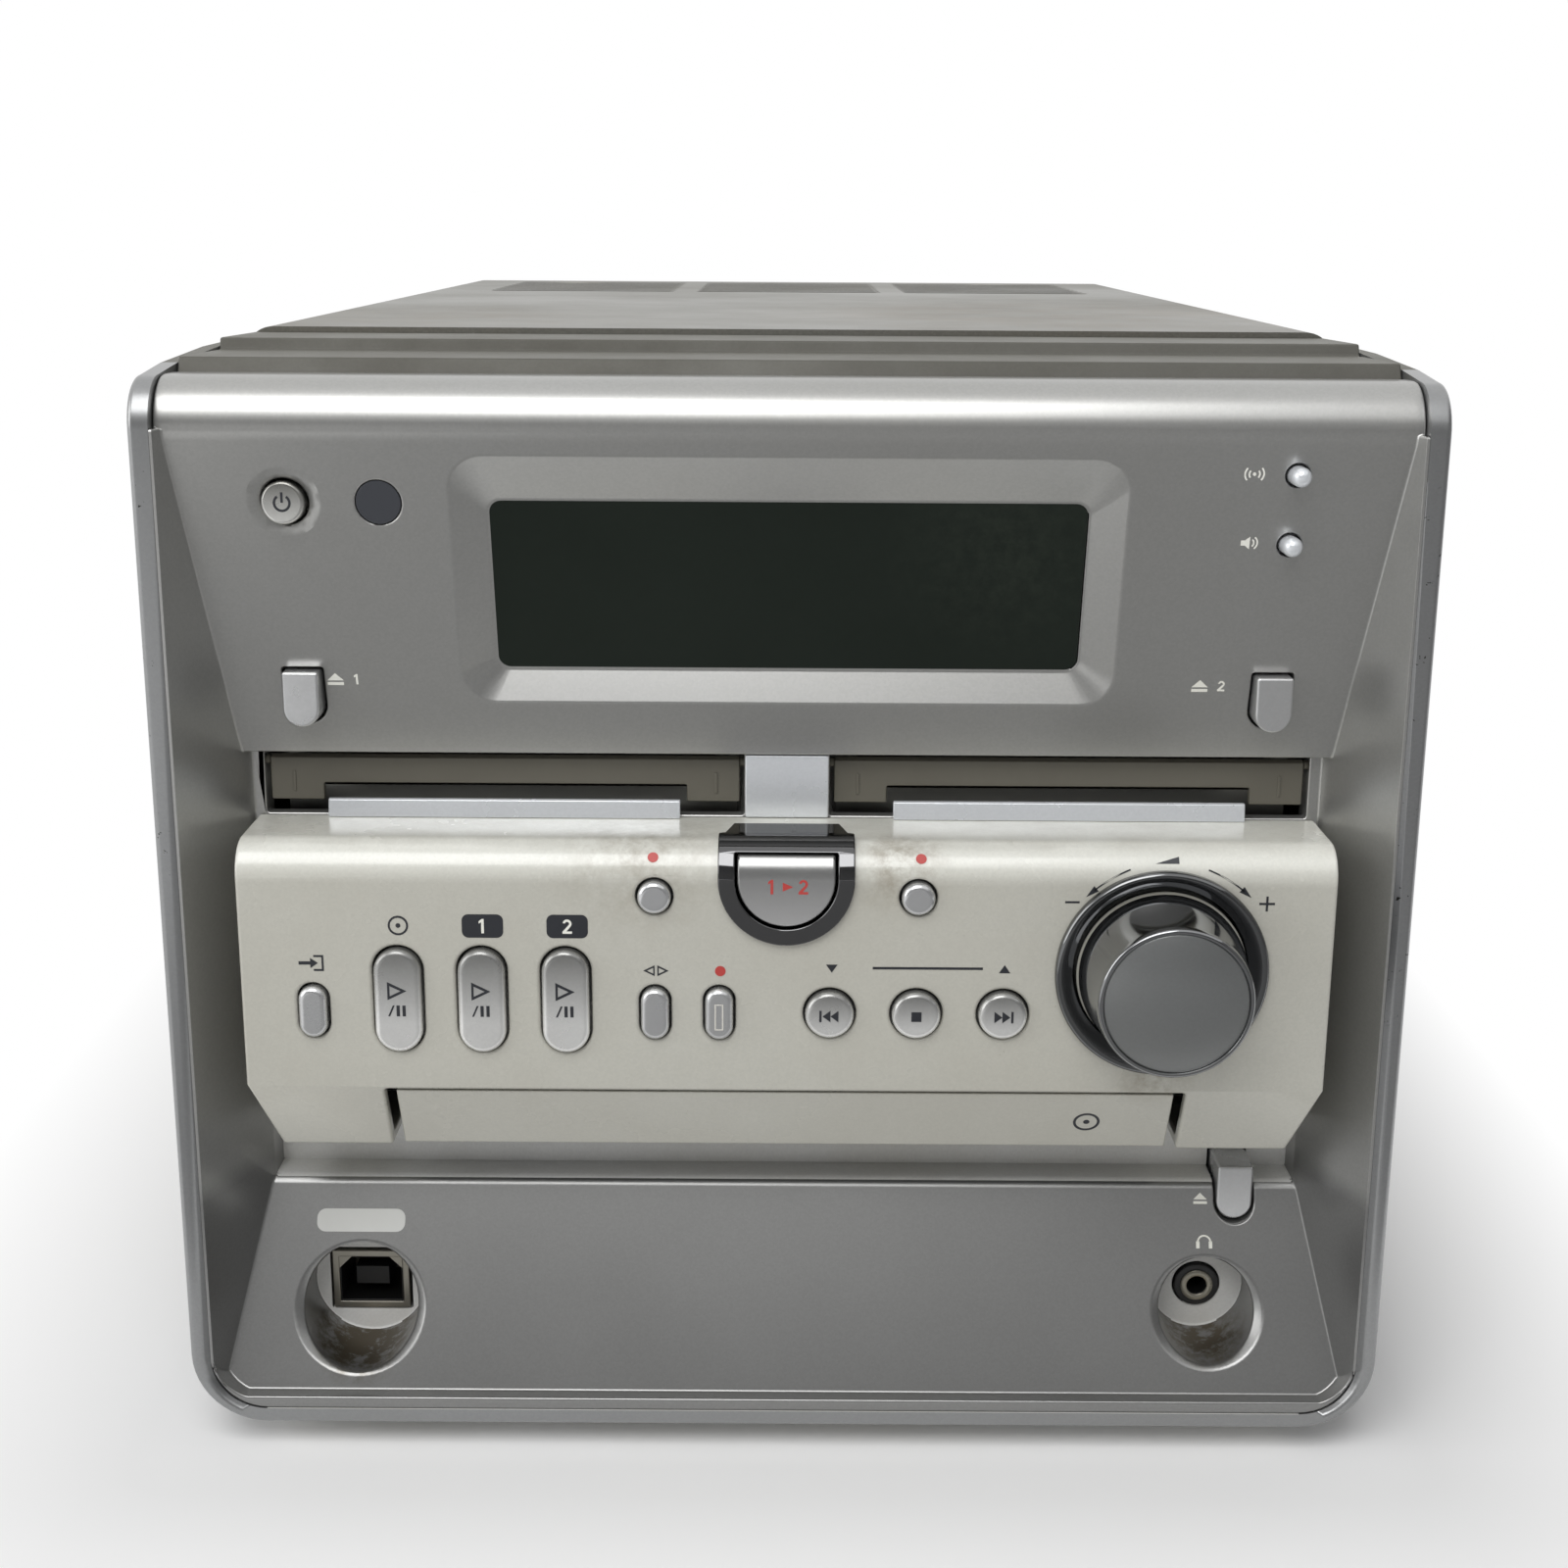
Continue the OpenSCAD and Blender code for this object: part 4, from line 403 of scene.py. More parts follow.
class Sign(Enum):
    """Standard signs, each as closed outlines in units of the sign's height."""

    PLAY_PAUSE = [moved(HOLLOW_TIP, 0.0, 0.55), [(-0.5, -0.85), (-0.4, -0.85), (-0.14, -0.25), (-0.24, -0.25)],
                  bar(-0.05, -0.85, 0.12, -0.25), bar(0.26, -0.85, 0.43, -0.25)]
    BOTH_WAYS = [[(-u - 0.62, v) for u, v in HOLLOW_TIP][::-1], moved(HOLLOW_TIP, 0.62)]
    STOP = [bar(-0.5, -0.5, 0.5, 0.5)]
    BACK = [moved(LEFT_TIP, 0.62), moved(LEFT_TIP, 0.06), bar(-0.72, -0.42, -0.56, 0.42)]
    FORWARD = [moved(RIGHT_TIP, -0.62), moved(RIGHT_TIP, -0.06), bar(0.56, -0.42, 0.72, 0.42)]
    EJECT = [[(-0.62, -0.1), (0.62, -0.1), (0.0, 0.5)], bar(-0.62, -0.5, 0.62, -0.26)]
    POWER = [ring_part(0.36, 0.5, 125, 415), bar(-0.07, 0.02, 0.07, 0.6)]
    PLUS = [bar(-0.5, -0.07, 0.5, 0.07), bar(-0.07, 0.07, 0.07, 0.5), bar(-0.07, -0.5, 0.07, -0.07)]
    MINUS = [bar(-0.5, -0.07, 0.5, 0.07)]
    DOT = [arc(0, 0, 0.5, 0, 345, 24)]
    ONE = [FIGURE_ONE]
    TWO = [FIGURE_TWO]
    COPY = [moved(FIGURE_ONE, -1.05), [(-0.32, -0.3), (0.36, 0.0), (-0.32, 0.3)], moved(FIGURE_TWO, 1.05)]
    WAVES = [*(ring_part(r, r + 0.11, a, a + 84, 10) for r in (0.3, 0.58) for a in (-42, 138)),
             arc(0, 0, 0.12, 0, 330, 12)]
    BASS = [[(-0.6, -0.2), (-0.3, -0.2), (0.05, -0.5), (0.05, 0.5), (-0.3, 0.2), (-0.6, 0.2)],
            ring_part(0.3, 0.41, -48, 48, 10), ring_part(0.56, 0.67, -48, 48, 10)]
    UP = [[(-0.5, -0.35), (0.5, -0.35), (0.0, 0.4)]]
    DOWN = [[(-0.5, 0.35), (0.0, -0.4), (0.5, 0.35)]]
    WEDGE = [[(-1.3, -0.4), (1.3, -0.4), (1.3, 0.45)]]
    DISC = [ring_part(0.4, 0.5, 0, 180), ring_part(0.4, 0.5, 180, 360), arc(0, 0, 0.12, 0, 330, 12)]
    PHONES = [ring_part(0.38, 0.5, 0, 180), bar(-0.56, -0.42, -0.32, 0.06), bar(0.32, -0.42, 0.56, 0.06)]
    INPUT = [[(-0.9, -0.1), (-0.2, -0.1), (-0.2, -0.32), (0.25, 0.0), (-0.2, 0.32), (-0.2, 0.1), (-0.9, 0.1)],
             [(0.0, -0.5), (0.6, -0.5), (0.6, 0.5), (0.0, 0.5), (0.0, 0.38), (0.48, 0.38), (0.48, -0.38),
              (0.0, -0.38)]]
    BAR = [bar(-2.2, -0.05, 2.2, 0.05)]
    WINDOW = [bar(-0.16, -0.5, -0.11, 0.5), bar(0.11, -0.5, 0.16, 0.5), bar(-0.11, -0.5, 0.11, -0.46),
              bar(-0.11, 0.46, 0.11, 0.5)]


# Finishes


def linear(colour: Colour) -> tuple[float, float, float, float]:
    """Turns a screen colour into Blender's linear colour."""
    parts = [c / 255 for c in colour]
    r, g, b = [c / 12.92 if c <= 0.04045 else ((c + 0.055) / 1.055) ** 2.4 for c in parts]
    return r, g, b, 1.0


class Graph:
    """Small helper that adds and links the nodes of one tree."""

    kinds = {"Vector": "Vector", "Center": "Vector", "Color": "Color", "Stain": "Color"}

    def __init__(self, tree: bpy.types.NodeTree) -> None:
        """Keeps the tree."""
        self.tree = tree

    def feed(self, node: bpy.types.Node, values: dict[str | int, object]) -> None:
        """Sets or links input sockets of a node."""
        for key, value in values.items():
            if isinstance(value, Socket):
                self.tree.links.new(value, node.inputs[key])
            else:
                node.inputs[key].default_value = value

    def node(self, kind: str, values: dict[str | int, object] | None = None, **settings: object) -> bpy.types.Node:
        """Adds a node.

        Args:
            kind: The node's type name without its common prefix.
            values: Values or links for its input sockets.
            settings: Properties of the node.

        Returns:
            The node.
        """
        made = self.tree.nodes.new("ShaderNode" + kind)
        for key, value in settings.items():
            setattr(made, key, value)
        self.feed(made, values or {})
        return made

    def math(self, operation: str, a: object, b: object = 0.0, clamp: bool = False) -> Socket:
        """Adds a math node and returns its value."""
        return self.node("Math", {0: a, 1: b}, operation=operation, use_clamp=clamp).outputs[0]

    def mix(self, factor: object, a: object, b: object, blend: str = "MIX") -> Socket:
        """Adds a colour mix and returns its colour."""
        return self.node("Mix", {0: factor, 6: a, 7: b}, data_type="RGBA", blend_type=blend).outputs[2]

    def ramp(self, value: object, low: object, high: object, start: float = 0.0, end: float = 1.0) -> Socket:
        """Maps a value from one range to another, clamped."""
        settings = {"Value": value, "From Min": low, "From Max": high, "To Min": start, "To Max": end}
        return self.node("MapRange", settings).outputs[0]

    def noise(self, vector: Socket, scale: object, detail: float = 6.0, roughness: float = 0.7) -> bpy.types.Node:
        """Adds a noise texture."""
        values = {"Vector": vector, "Scale": scale, "Detail": detail, "Roughness": roughness}
        return self.node("TexNoise", values)

    def height(self, spot: Socket) -> Socket:
        """Height part of a place."""
        return self.node("SeparateXYZ", {0: spot}).outputs[2]

    def effect(self, build: "Effect", **values: object) -> bpy.types.bpy_prop_collection:
        """Adds a shared effect as a node group, which is made at its first use.

        Args:
            build: Fills the group from its inputs and gives its outputs by name.
            values: Values or links for the group's inputs.

        Returns:
            The outputs of the group.
        """
        name = build.__name__
        tree = bpy.data.node_groups.get(name)
        if tree is None:
            tree = bpy.data.node_groups.new(name, "ShaderNodeTree")
            self._sockets(tree, values, "INPUT")
            made = build(Graph(tree), tree.nodes.new("NodeGroupInput").outputs)
            self._sockets(tree, made, "OUTPUT")
            Graph(tree).feed(tree.nodes.new("NodeGroupOutput"), made)
        return self.node("Group", values, node_tree=tree).outputs

    def _sockets(self, tree: bpy.types.NodeTree, labels: dict[str, object], way: str) -> None:
        """Gives a group its sockets of one way."""
        for label in labels:
            kind = "NodeSocket" + self.kinds.get(label, "Float")
            tree.interface.new_socket(label, in_out=way, socket_type=kind)


Given = bpy.types.bpy_prop_collection
Effect = Callable[[Graph, Given], dict[str, Socket]]


def metal_flake(graph: Graph, given: Given) -> dict[str, Socket]:
    """Metal flakes in paint: fine cells that vary in brightness."""
    cells = graph.node("TexVoronoi", {"Vector": given["Vector"], "Scale": given["Scale"]}).outputs
    level = graph.ramp(graph.node("SeparateColor", {0: cells["Color"]}).outputs[0], 0, 1, 0.72, 1.28)
    tone = graph.node("CombineColor", {0: level, 1: level, 2: level}).outputs[0]
    full = graph.mix(1.0, given["Color"], tone, "MULTIPLY")
    return {"Color": graph.mix(given["Amount"], given["Color"], full)}


def age_mottle(graph: Graph, given: Given) -> dict[str, Socket]:
    """Uneven age: broad soft patches in colour, and a mask for the roughness."""
    noise = graph.noise(given["Vector"], given["Scale"], roughness=0.62)
    mask = graph.ramp(noise.outputs["Fac"], 0.36, 0.68)
    amount = graph.math("MULTIPLY", mask, given["Amount"])
    return {"Color": graph.mix(amount, given["Color"], given["Stain"]), "Mask": mask}


def dust_specks(graph: Graph, given: Given) -> dict[str, Socket]:
    """Specks of dust or small chips: a scattered mask."""
    warp = graph.noise(given["Vector"], given["Scale"], 3.0, 0.5)
    where = graph.mix(0.012, given["Vector"], warp.outputs["Color"])
    cells = graph.node("TexVoronoi", {"Vector": where, "Scale": given["Scale"]}).outputs
    chance = graph.node("SeparateColor", {0: cells["Color"]}).outputs[0]
    limit = graph.math("MULTIPLY", graph.math("SUBTRACT", given["Amount"], chance), 0.55)
    return {"Mask": graph.ramp(graph.math("SUBTRACT", limit, cells["Distance"]), 0.0, 0.06)}


def broken_mask(graph: Graph, given: Given, reach: Socket, noise: bpy.types.Node, low: float, high: float) -> Socket:
    """A mask of dirt, broken up by noise between two levels."""
    broken = graph.ramp(noise.outputs["Fac"], low, high)
    return graph.math("MULTIPLY", graph.math("MULTIPLY", reach, broken), given["Amount"], clamp=True)


def dirt_band(graph: Graph, given: Given) -> dict[str, Socket]:
    """Dirt that gathers towards one height, broken up by noise."""
    reach = graph.ramp(given["Level"], given["From"], given["To"])
    return {"Mask": broken_mask(graph, given, reach, graph.noise(given["Vector"], 120.0), 0.35, 0.72)}


def dirt_patch(graph: Graph, given: Given) -> dict[str, Socket]:
    """Dirt or a stain round one point, thinning outwards and broken up by noise."""
    away = graph.node("VectorMath", {0: given["Vector"], 1: given["Center"]}, operation="DISTANCE").outputs["Value"]
    near = graph.math("SUBTRACT", 1.0, graph.math("DIVIDE", away, given["Radius"]), clamp=True)
    return {"Mask": broken_mask(graph, given, near, graph.noise(given["Vector"], given["Scale"]), 0.38, 0.66)}


@dataclass(frozen=True)
class Band:
    """Dirt that gathers between two heights, in millimetres on the object."""

    start: float
    end: float
    colour: Colour
    amount: float


@dataclass(frozen=True)
class Patch:
    """Dirt or a stain round one point, in millimetres on the object."""

    x: float
    depth: float
    height: float
    radius: float
    colour: Colour
    amount: float
    scale: float = 300.0
    specks: float = 0.0


@dataclass(frozen=True)
class Finish:
    """One finish of the unit: its colour, gloss, flakes, age, dirt and painted shading over height."""

    name: str
    colour: Colour
    roughness: float
    metallic: float = 0.0
    coat: float = 0.0
    flake: float = 0.0
    flake_scale: float = 2600.0
    stain: Colour = (90, 84, 74)
    age: float = 0.15
    age_scale: float = 26.0
    dust: float = 0.0
    dust_colour: Colour = (176, 172, 160)
    dust_scale: float = 420.0
    grain: float = 0.0
    grain_scale: float = 1500.0
    rough_age: float = 0.06
    stretch: Spot = (1.0, 1.0, 1.0)
    band: Band | None = None
    patches: tuple[Patch, ...] = ()
    specular: float = 0.5
    # Painted shading: between two heights the colour ramps to a lighter or darker tone that stands in for light and
    # shade.
    painted_shading: tuple[float, float, Colour] | None = None

    def material(self) -> bpy.types.Material:
        """The finish's material, made at its first use."""
        made = bpy.data.materials.get(LOOK + self.name)
        if made is None:
            made = bpy.data.materials.new(LOOK + self.name)
            made.use_nodes = True
            made.diffuse_color = linear(self.colour)
            self._shade(Graph(made.node_tree), made.node_tree.nodes["Principled BSDF"])
        return made

    def _shade(self, graph: Graph, shader: bpy.types.Node) -> None:
        """Sets and links the inputs of the finish's shader.

        Args:
            graph: The material's nodes.
            shader: Its main shader.
        """
        spot = graph.node("TexCoord").outputs["Object"]
        vector = graph.node("Mapping", {"Vector": spot, "Scale": self.stretch}).outputs[0]
        aged = graph.effect(age_mottle, Vector=vector, Color=linear(self.colour), Stain=linear(self.stain),
                            Scale=self.age_scale, Amount=self.age)
        colour = aged["Color"]
        # Painted shading: the colour ramps with height to a tone that stands in for a highlight or a shade.
        if self.painted_shading is not None:
            low, high, far = self.painted_shading
            rise = graph.ramp(graph.height(spot), at(0, 0, low).z, at(0, 0, high).z)
            colour = graph.mix(rise, colour, linear(far))
        if self.flake > 0:
            colour = graph.effect(metal_flake, Vector=vector, Color=colour, Scale=self.flake_scale,
                                  Amount=self.flake)["Color"]
        low, high = self.roughness - self.rough_age, self.roughness + self.rough_age
        values = {"Metallic": self.metallic, "Coat Weight": self.coat, "Coat Roughness": COAT_ROUGHNESS,
                  "Specular IOR Level": self.specular, "Base Color": self._dirtied(graph, spot, colour),
                  "Roughness": graph.ramp(aged["Mask"], 0, 1, low, high)}
        if self.grain > 0:
            height = graph.noise(vector, self.grain_scale, 3.0, 0.5).outputs["Fac"]
            bump = {"Strength": self.grain, "Distance": BUMP_DISTANCE, "Height": height}
            values["Normal"] = graph.node("Bump", bump).outputs[0]
        graph.feed(shader, values)

    def _dirtied(self, graph: Graph, spot: Socket, colour: Socket) -> Socket:
        """Lays dust, a band of dirt and patches over a colour.

        Args:
            graph: The material's nodes.
            spot: Place on the object.
            colour: The clean colour.

        Returns:
            The colour with its dirt.
        """
        if self.dust > 0:
            colour = graph.mix(self._specks(graph, spot, self.dust), colour, linear(self.dust_colour))
        if self.band is not None:
            mask = graph.effect(dirt_band, Vector=spot, Level=graph.height(spot), From=at(0, 0, self.band.start).z,
                                To=at(0, 0, self.band.end).z, Amount=self.band.amount)["Mask"]
            colour = graph.mix(mask, colour, linear(self.band.colour))
        for patch in self.patches:
            middle = tuple(at(patch.x, patch.depth, patch.height))
            mask = graph.effect(dirt_patch, Vector=spot, Center=middle, Radius=patch.radius * MM,
                                Scale=patch.scale, Amount=patch.amount)["Mask"]
            if patch.specks > 0:
                mask = graph.math("MULTIPLY", mask, self._specks(graph, spot, patch.specks))
            colour = graph.mix(mask, colour, linear(patch.colour))
        return colour

    def _specks(self, graph: Graph, spot: Socket, amount: float) -> Socket:
        """Mask of scattered specks."""
        return graph.effect(dust_specks, Vector=spot, Scale=self.dust_scale, Amount=amount)["Mask"]


class Paint:
    """The unit's finishes by name."""

    SILVER = Finish("silver_paint", (174, 174, 172), 0.32, 0.8, 0.06, flake=0.12, stain=(162, 161, 157), age=0.3,
                    age_scale=16.0, rough_age=0.015, dust=0.012, dust_colour=(128, 124, 114), dust_scale=300.0,
                    # Painted shade: the panel darkens to a duller grey below the ledge, from 46 mm down to 42 mm.
                    painted_shading=(46.0, 42.0, (142, 142, 141)),
                    patches=(Patch(-76.0, 14.0, 8.4, 12.0, (92, 84, 70), 4.0, 420.0),
                             Patch(76.0, 14.0, 10.0, 10.0, (100, 92, 78), 3.0, 420.0)))
    # Step treads: real dust, on a dark colour that is partly painted shade.
    TREAD = Finish("step_dust_and_shade", (120, 119, 113), 0.55, 0.35, stain=(104, 102, 95), age=0.6, flake=0.1, dust=0.05,
                   dust_colour=(92, 88, 80), dust_scale=260.0, specular=0.25)
    # Painted shade: the risers are a darker copy of the treads.
    RISER = replace(TREAD, name="step_riser_shade", colour=(96, 95, 90), stain=(84, 82, 76))
    # Painted light: a lighter, non-metal copy that brightens the shade deep in the hollow.
    HOLLOW = replace(TREAD, name="hollow_painted_light", colour=(222, 222, 220), stain=(200, 198, 190), metallic=0.0)
    FRAME = Finish("frame_paint", (152, 153, 154), 0.32, 0.8, 0.06, flake=0.1, stain=(142, 142, 140), age=0.3,
                   age_scale=16.0, rough_age=0.015,
                   patches=(Patch(-102.6, 0.0, 136.0, 40.0, (48, 47, 45), 6.0, 300.0, 0.42),
                            Patch(102.6, 0.0, 122.0, 48.0, (48, 47, 45), 6.0, 300.0, 0.5)))
    COVER = Finish("cover_paint", (126, 125, 119), 0.42, 0.6, flake=0.3, stain=(112, 109, 100), age=0.5,
                   age_scale=14.0, dust=0.10, dust_colour=(110, 103, 90), dust_scale=260.0,
                   patches=(Patch(58.0, 120.0, 188.0, 80.0, (116, 104, 86), 0.9, 60.0),
                            Patch(-70.0, 90.0, 188.0, 60.0, (120, 112, 98), 0.7, 60.0)))
    IVORY = Finish("ivory_plastic", (190, 189, 180), 0.28, 0.0, 0.4, flake=0.1, stain=(174, 171, 159), age=0.5,
                   age_scale=16.0, dust=0.16, dust_colour=(126, 116, 96), dust_scale=330.0,
                   # Painted highlight: the panel lightens towards its rolled top edge, from 100.5 mm up to 104.5 mm;
                   # the band is real grime.
                   band=Band(105.0, 107.6, (134, 122, 102), 0.3), painted_shading=(100.5, 104.5, (226, 226, 218)),
                   patches=(Patch(19.0, 2.0, 104.0, 10.0, (122, 106, 82), 0.8),
                            Patch(-24.0, 3.0, 106.0, 18.0, (134, 122, 102), 0.5),
                            Patch(63.0, 0.0, 67.0, 8.0, (130, 120, 102), 0.8)))
    TAUPE = Finish("flap_taupe", (104, 101, 91), 0.46, stain=(88, 84, 74), age=0.4, dust=0.06, grain=0.2)
    LENS = Finish("smoked_lens", (28, 34, 29), 0.08, stain=(34, 40, 35), age=0.5, rough_age=0.04, specular=0.2,
                  dust=0.03, dust_colour=(72, 78, 70), dust_scale=700.0,
                  patches=(Patch(36.0, 12.0, 155.0, 22.0, (58, 64, 55), 0.3, 420.0),))
    SENSOR = Finish("sensor_lens", (66, 68, 73), 0.18, stain=(74, 76, 80), specular=0.25)
    BRIGHT = Finish("bright_trim", (224, 227, 231), 0.28, 0.35, stain=(204, 207, 211), age=0.3, flake=0.08)
    BUTTON = Finish("button_silver", (204, 205, 206), 0.28, 0.8, 0.08, flake=0.08, stain=(176, 175, 172), age=0.3)
    # Painted shade: the play buttons darken towards their tops.
    PLAY = replace(BUTTON, name="play_silver", colour=(238, 238, 236), metallic=0.6,
                   painted_shading=(76.0, 88.0, (140, 140, 138)))
    # Painted shade: the skip buttons darken towards their tops.
    SKIP = replace(BUTTON, name="skip_silver", colour=(232, 232, 230), metallic=0.6,
                   painted_shading=(75.5, 81.0, (150, 150, 148)))
    # Painted shade: the copy button darkens towards its top.
    COPY = replace(BUTTON, name="copy_silver", colour=(214, 214, 214), painted_shading=(94.0, 105.0, (150, 150, 149)))
    # Painted shade: the power button darkens towards its top.
    POWER = replace(BUTTON, name="power_silver", colour=(226, 226, 222), metallic=0.9,
                    painted_shading=(160.5, 166.5, (120, 119, 115)))
    # Painted reflection: the knob's chrome is darkened to stand in for the dark room it mirrors; its dust is real.
    CHROME = Finish("chrome_trim", (140, 141, 143), 0.09, 1.0, stain=(168, 168, 165), age=0.25, rough_age=0.03,
                    dust=0.05, dust_colour=(132, 128, 118), dust_scale=500.0)
    # Painted reflection: a still darker copy for the copy button's ring trim.
    DARK_CHROME = replace(CHROME, name="chrome_painted_dark_reflection", colour=(104, 104, 105), stain=(84, 83, 81))
    # Painted reflection: a darker copy for the volume ring.
    RING_CHROME = replace(CHROME, name="ring_chrome_painted_reflection", colour=(114, 115, 116), stain=(96, 95, 92))
    KNOB_FACE = Finish("knob_face", (146, 148, 148), 0.36, 0.8, stain=(132, 132, 130), age=0.35, flake=0.06)
    SHELL = Finish("socket_shell", (150, 147, 138), 0.34, 0.8, stain=(124, 118, 104), age=0.5)
    COLLAR = Finish("collar_beige", (150, 146, 134), 0.3, 0.6, stain=(126, 121, 108), age=0.4)
    STEEL = Finish("bare_steel", (172, 172, 168), 0.34, 0.85, stain=(150, 148, 140), age=0.35, grain=0.15,
                   grain_scale=900.0, stretch=(1.0, 0.06, 1.0))
    BLACK = Finish("black_plastic", (26, 26, 27), 0.42, stain=(38, 37, 35), age=0.4, grain=0.2)
    PIT = Finish("socket_black", (12, 12, 12), 0.5, stain=(22, 21, 20), age=0.4)
    PLATED = Finish("plated_jacks", (206, 200, 182), 0.18, 1.0, stain=(180, 172, 150), age=0.3)
    BOARD = Finish("board_green", (46, 92, 60), 0.4, stain=(38, 74, 50), age=0.4, grain=0.2)
    WINDING = Finish("winding", (120, 78, 48), 0.4, 0.3, stain=(90, 60, 40), age=0.5)
    CORE = Finish("gear_white", (214, 210, 196), 0.42, stain=(196, 190, 172), age=0.3)
    RUBBER = Finish("foot_rubber", (24, 24, 24), 0.75, stain=(40, 39, 37), age=0.4, grain=0.3)
    INK_DARK = Finish("dark_print", (38, 40, 46), 0.45, stain=(52, 54, 58), age=0.3)
    INK_PALE = Finish("pale_print", (240, 240, 232), 0.45, stain=(196, 192, 176), age=0.4)
    INK_RED = Finish("red_print", (186, 62, 58), 0.45, stain=(170, 74, 66), age=0.3)
    PLATE = Finish("pale_plate", (208, 209, 206), 0.4, stain=(176, 174, 166), age=0.4)
    RED = Finish("terminal_red", (158, 34, 30), 0.35, stain=(130, 34, 30), age=0.3)
    WHITE = Finish("terminal_white", (214, 212, 204), 0.35, stain=(190, 186, 174), age=0.3)
    GLASS = Finish("display_glass", (24, 30, 27), 0.2, stain=(34, 42, 38), age=0.4)


# The unit's sub-assemblies


def add(obj: Piece, finish: Finish, body: str = "cabinet", node: str | None = None) -> Piece:
    """Paints a piece, ties it to its body and hides the CAD node it replaces.

    Args:
        obj: The piece.
        finish: Its finish.
        body: The CAD body it moves with.
        node: The CAD node it replaces, if any.

    Returns:
        The piece.
    """
    obj.data.materials.clear()
    obj.data.materials.append(finish.material())
    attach(obj, body)
    if node is not None:
        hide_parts(node)
    LOG.info("%s rides on %s", obj.name, body)
    return obj


def dress(node: str, finish: Finish, body: str = "cabinet", edges: Edges = Edges(),
          flatten: float = FLAT) -> Piece:
    """Replaces a CAD node by its softened and painted copy; the values are those of copy_node and add."""
    return add(copy_node(node, node + "_dressed", edges, flatten), finish, body, node)


@dataclass
class Print:
    """Printed or moulded signs on a face."""

    face: Face
    finish: Finish
    slot: str
    body: str = "cabinet"
    roll: float = 0.0

    def put(self, name: str, sign: Sign, x: float, height: float, size: float, proud: float = 0.0) -> None:
        """Puts one sign on the face.

        Args:
            name: Name of the piece.
            sign: The sign.
            x: Millimetres to the right of the middle.
            height: Millimetres above the frame's underside.
            size: Height of one unit of the sign in millimetres.
            proud: How far the carrying surface stands out of the face, in millimetres.
        """
        place = self.face.place(x, height, proud)
        parts = [slab(f"{name}_{i}", [(u * size, v * size) for u, v in outline], INK, place)
                 for i, outline in enumerate(sign.value)]
        obj = joined(name, parts)
        if self.roll > 0:
            wrap_roll(obj, self.roll)
        add(obj, self.finish, self.body)

    def plate(self, name: str, x: float, height: float, outline: Sequence[Point]) -> None:
        """Puts a thin plate on the face."""
        add(slab(name, outline, INK, self.face.place(x, height)), self.finish, self.body)


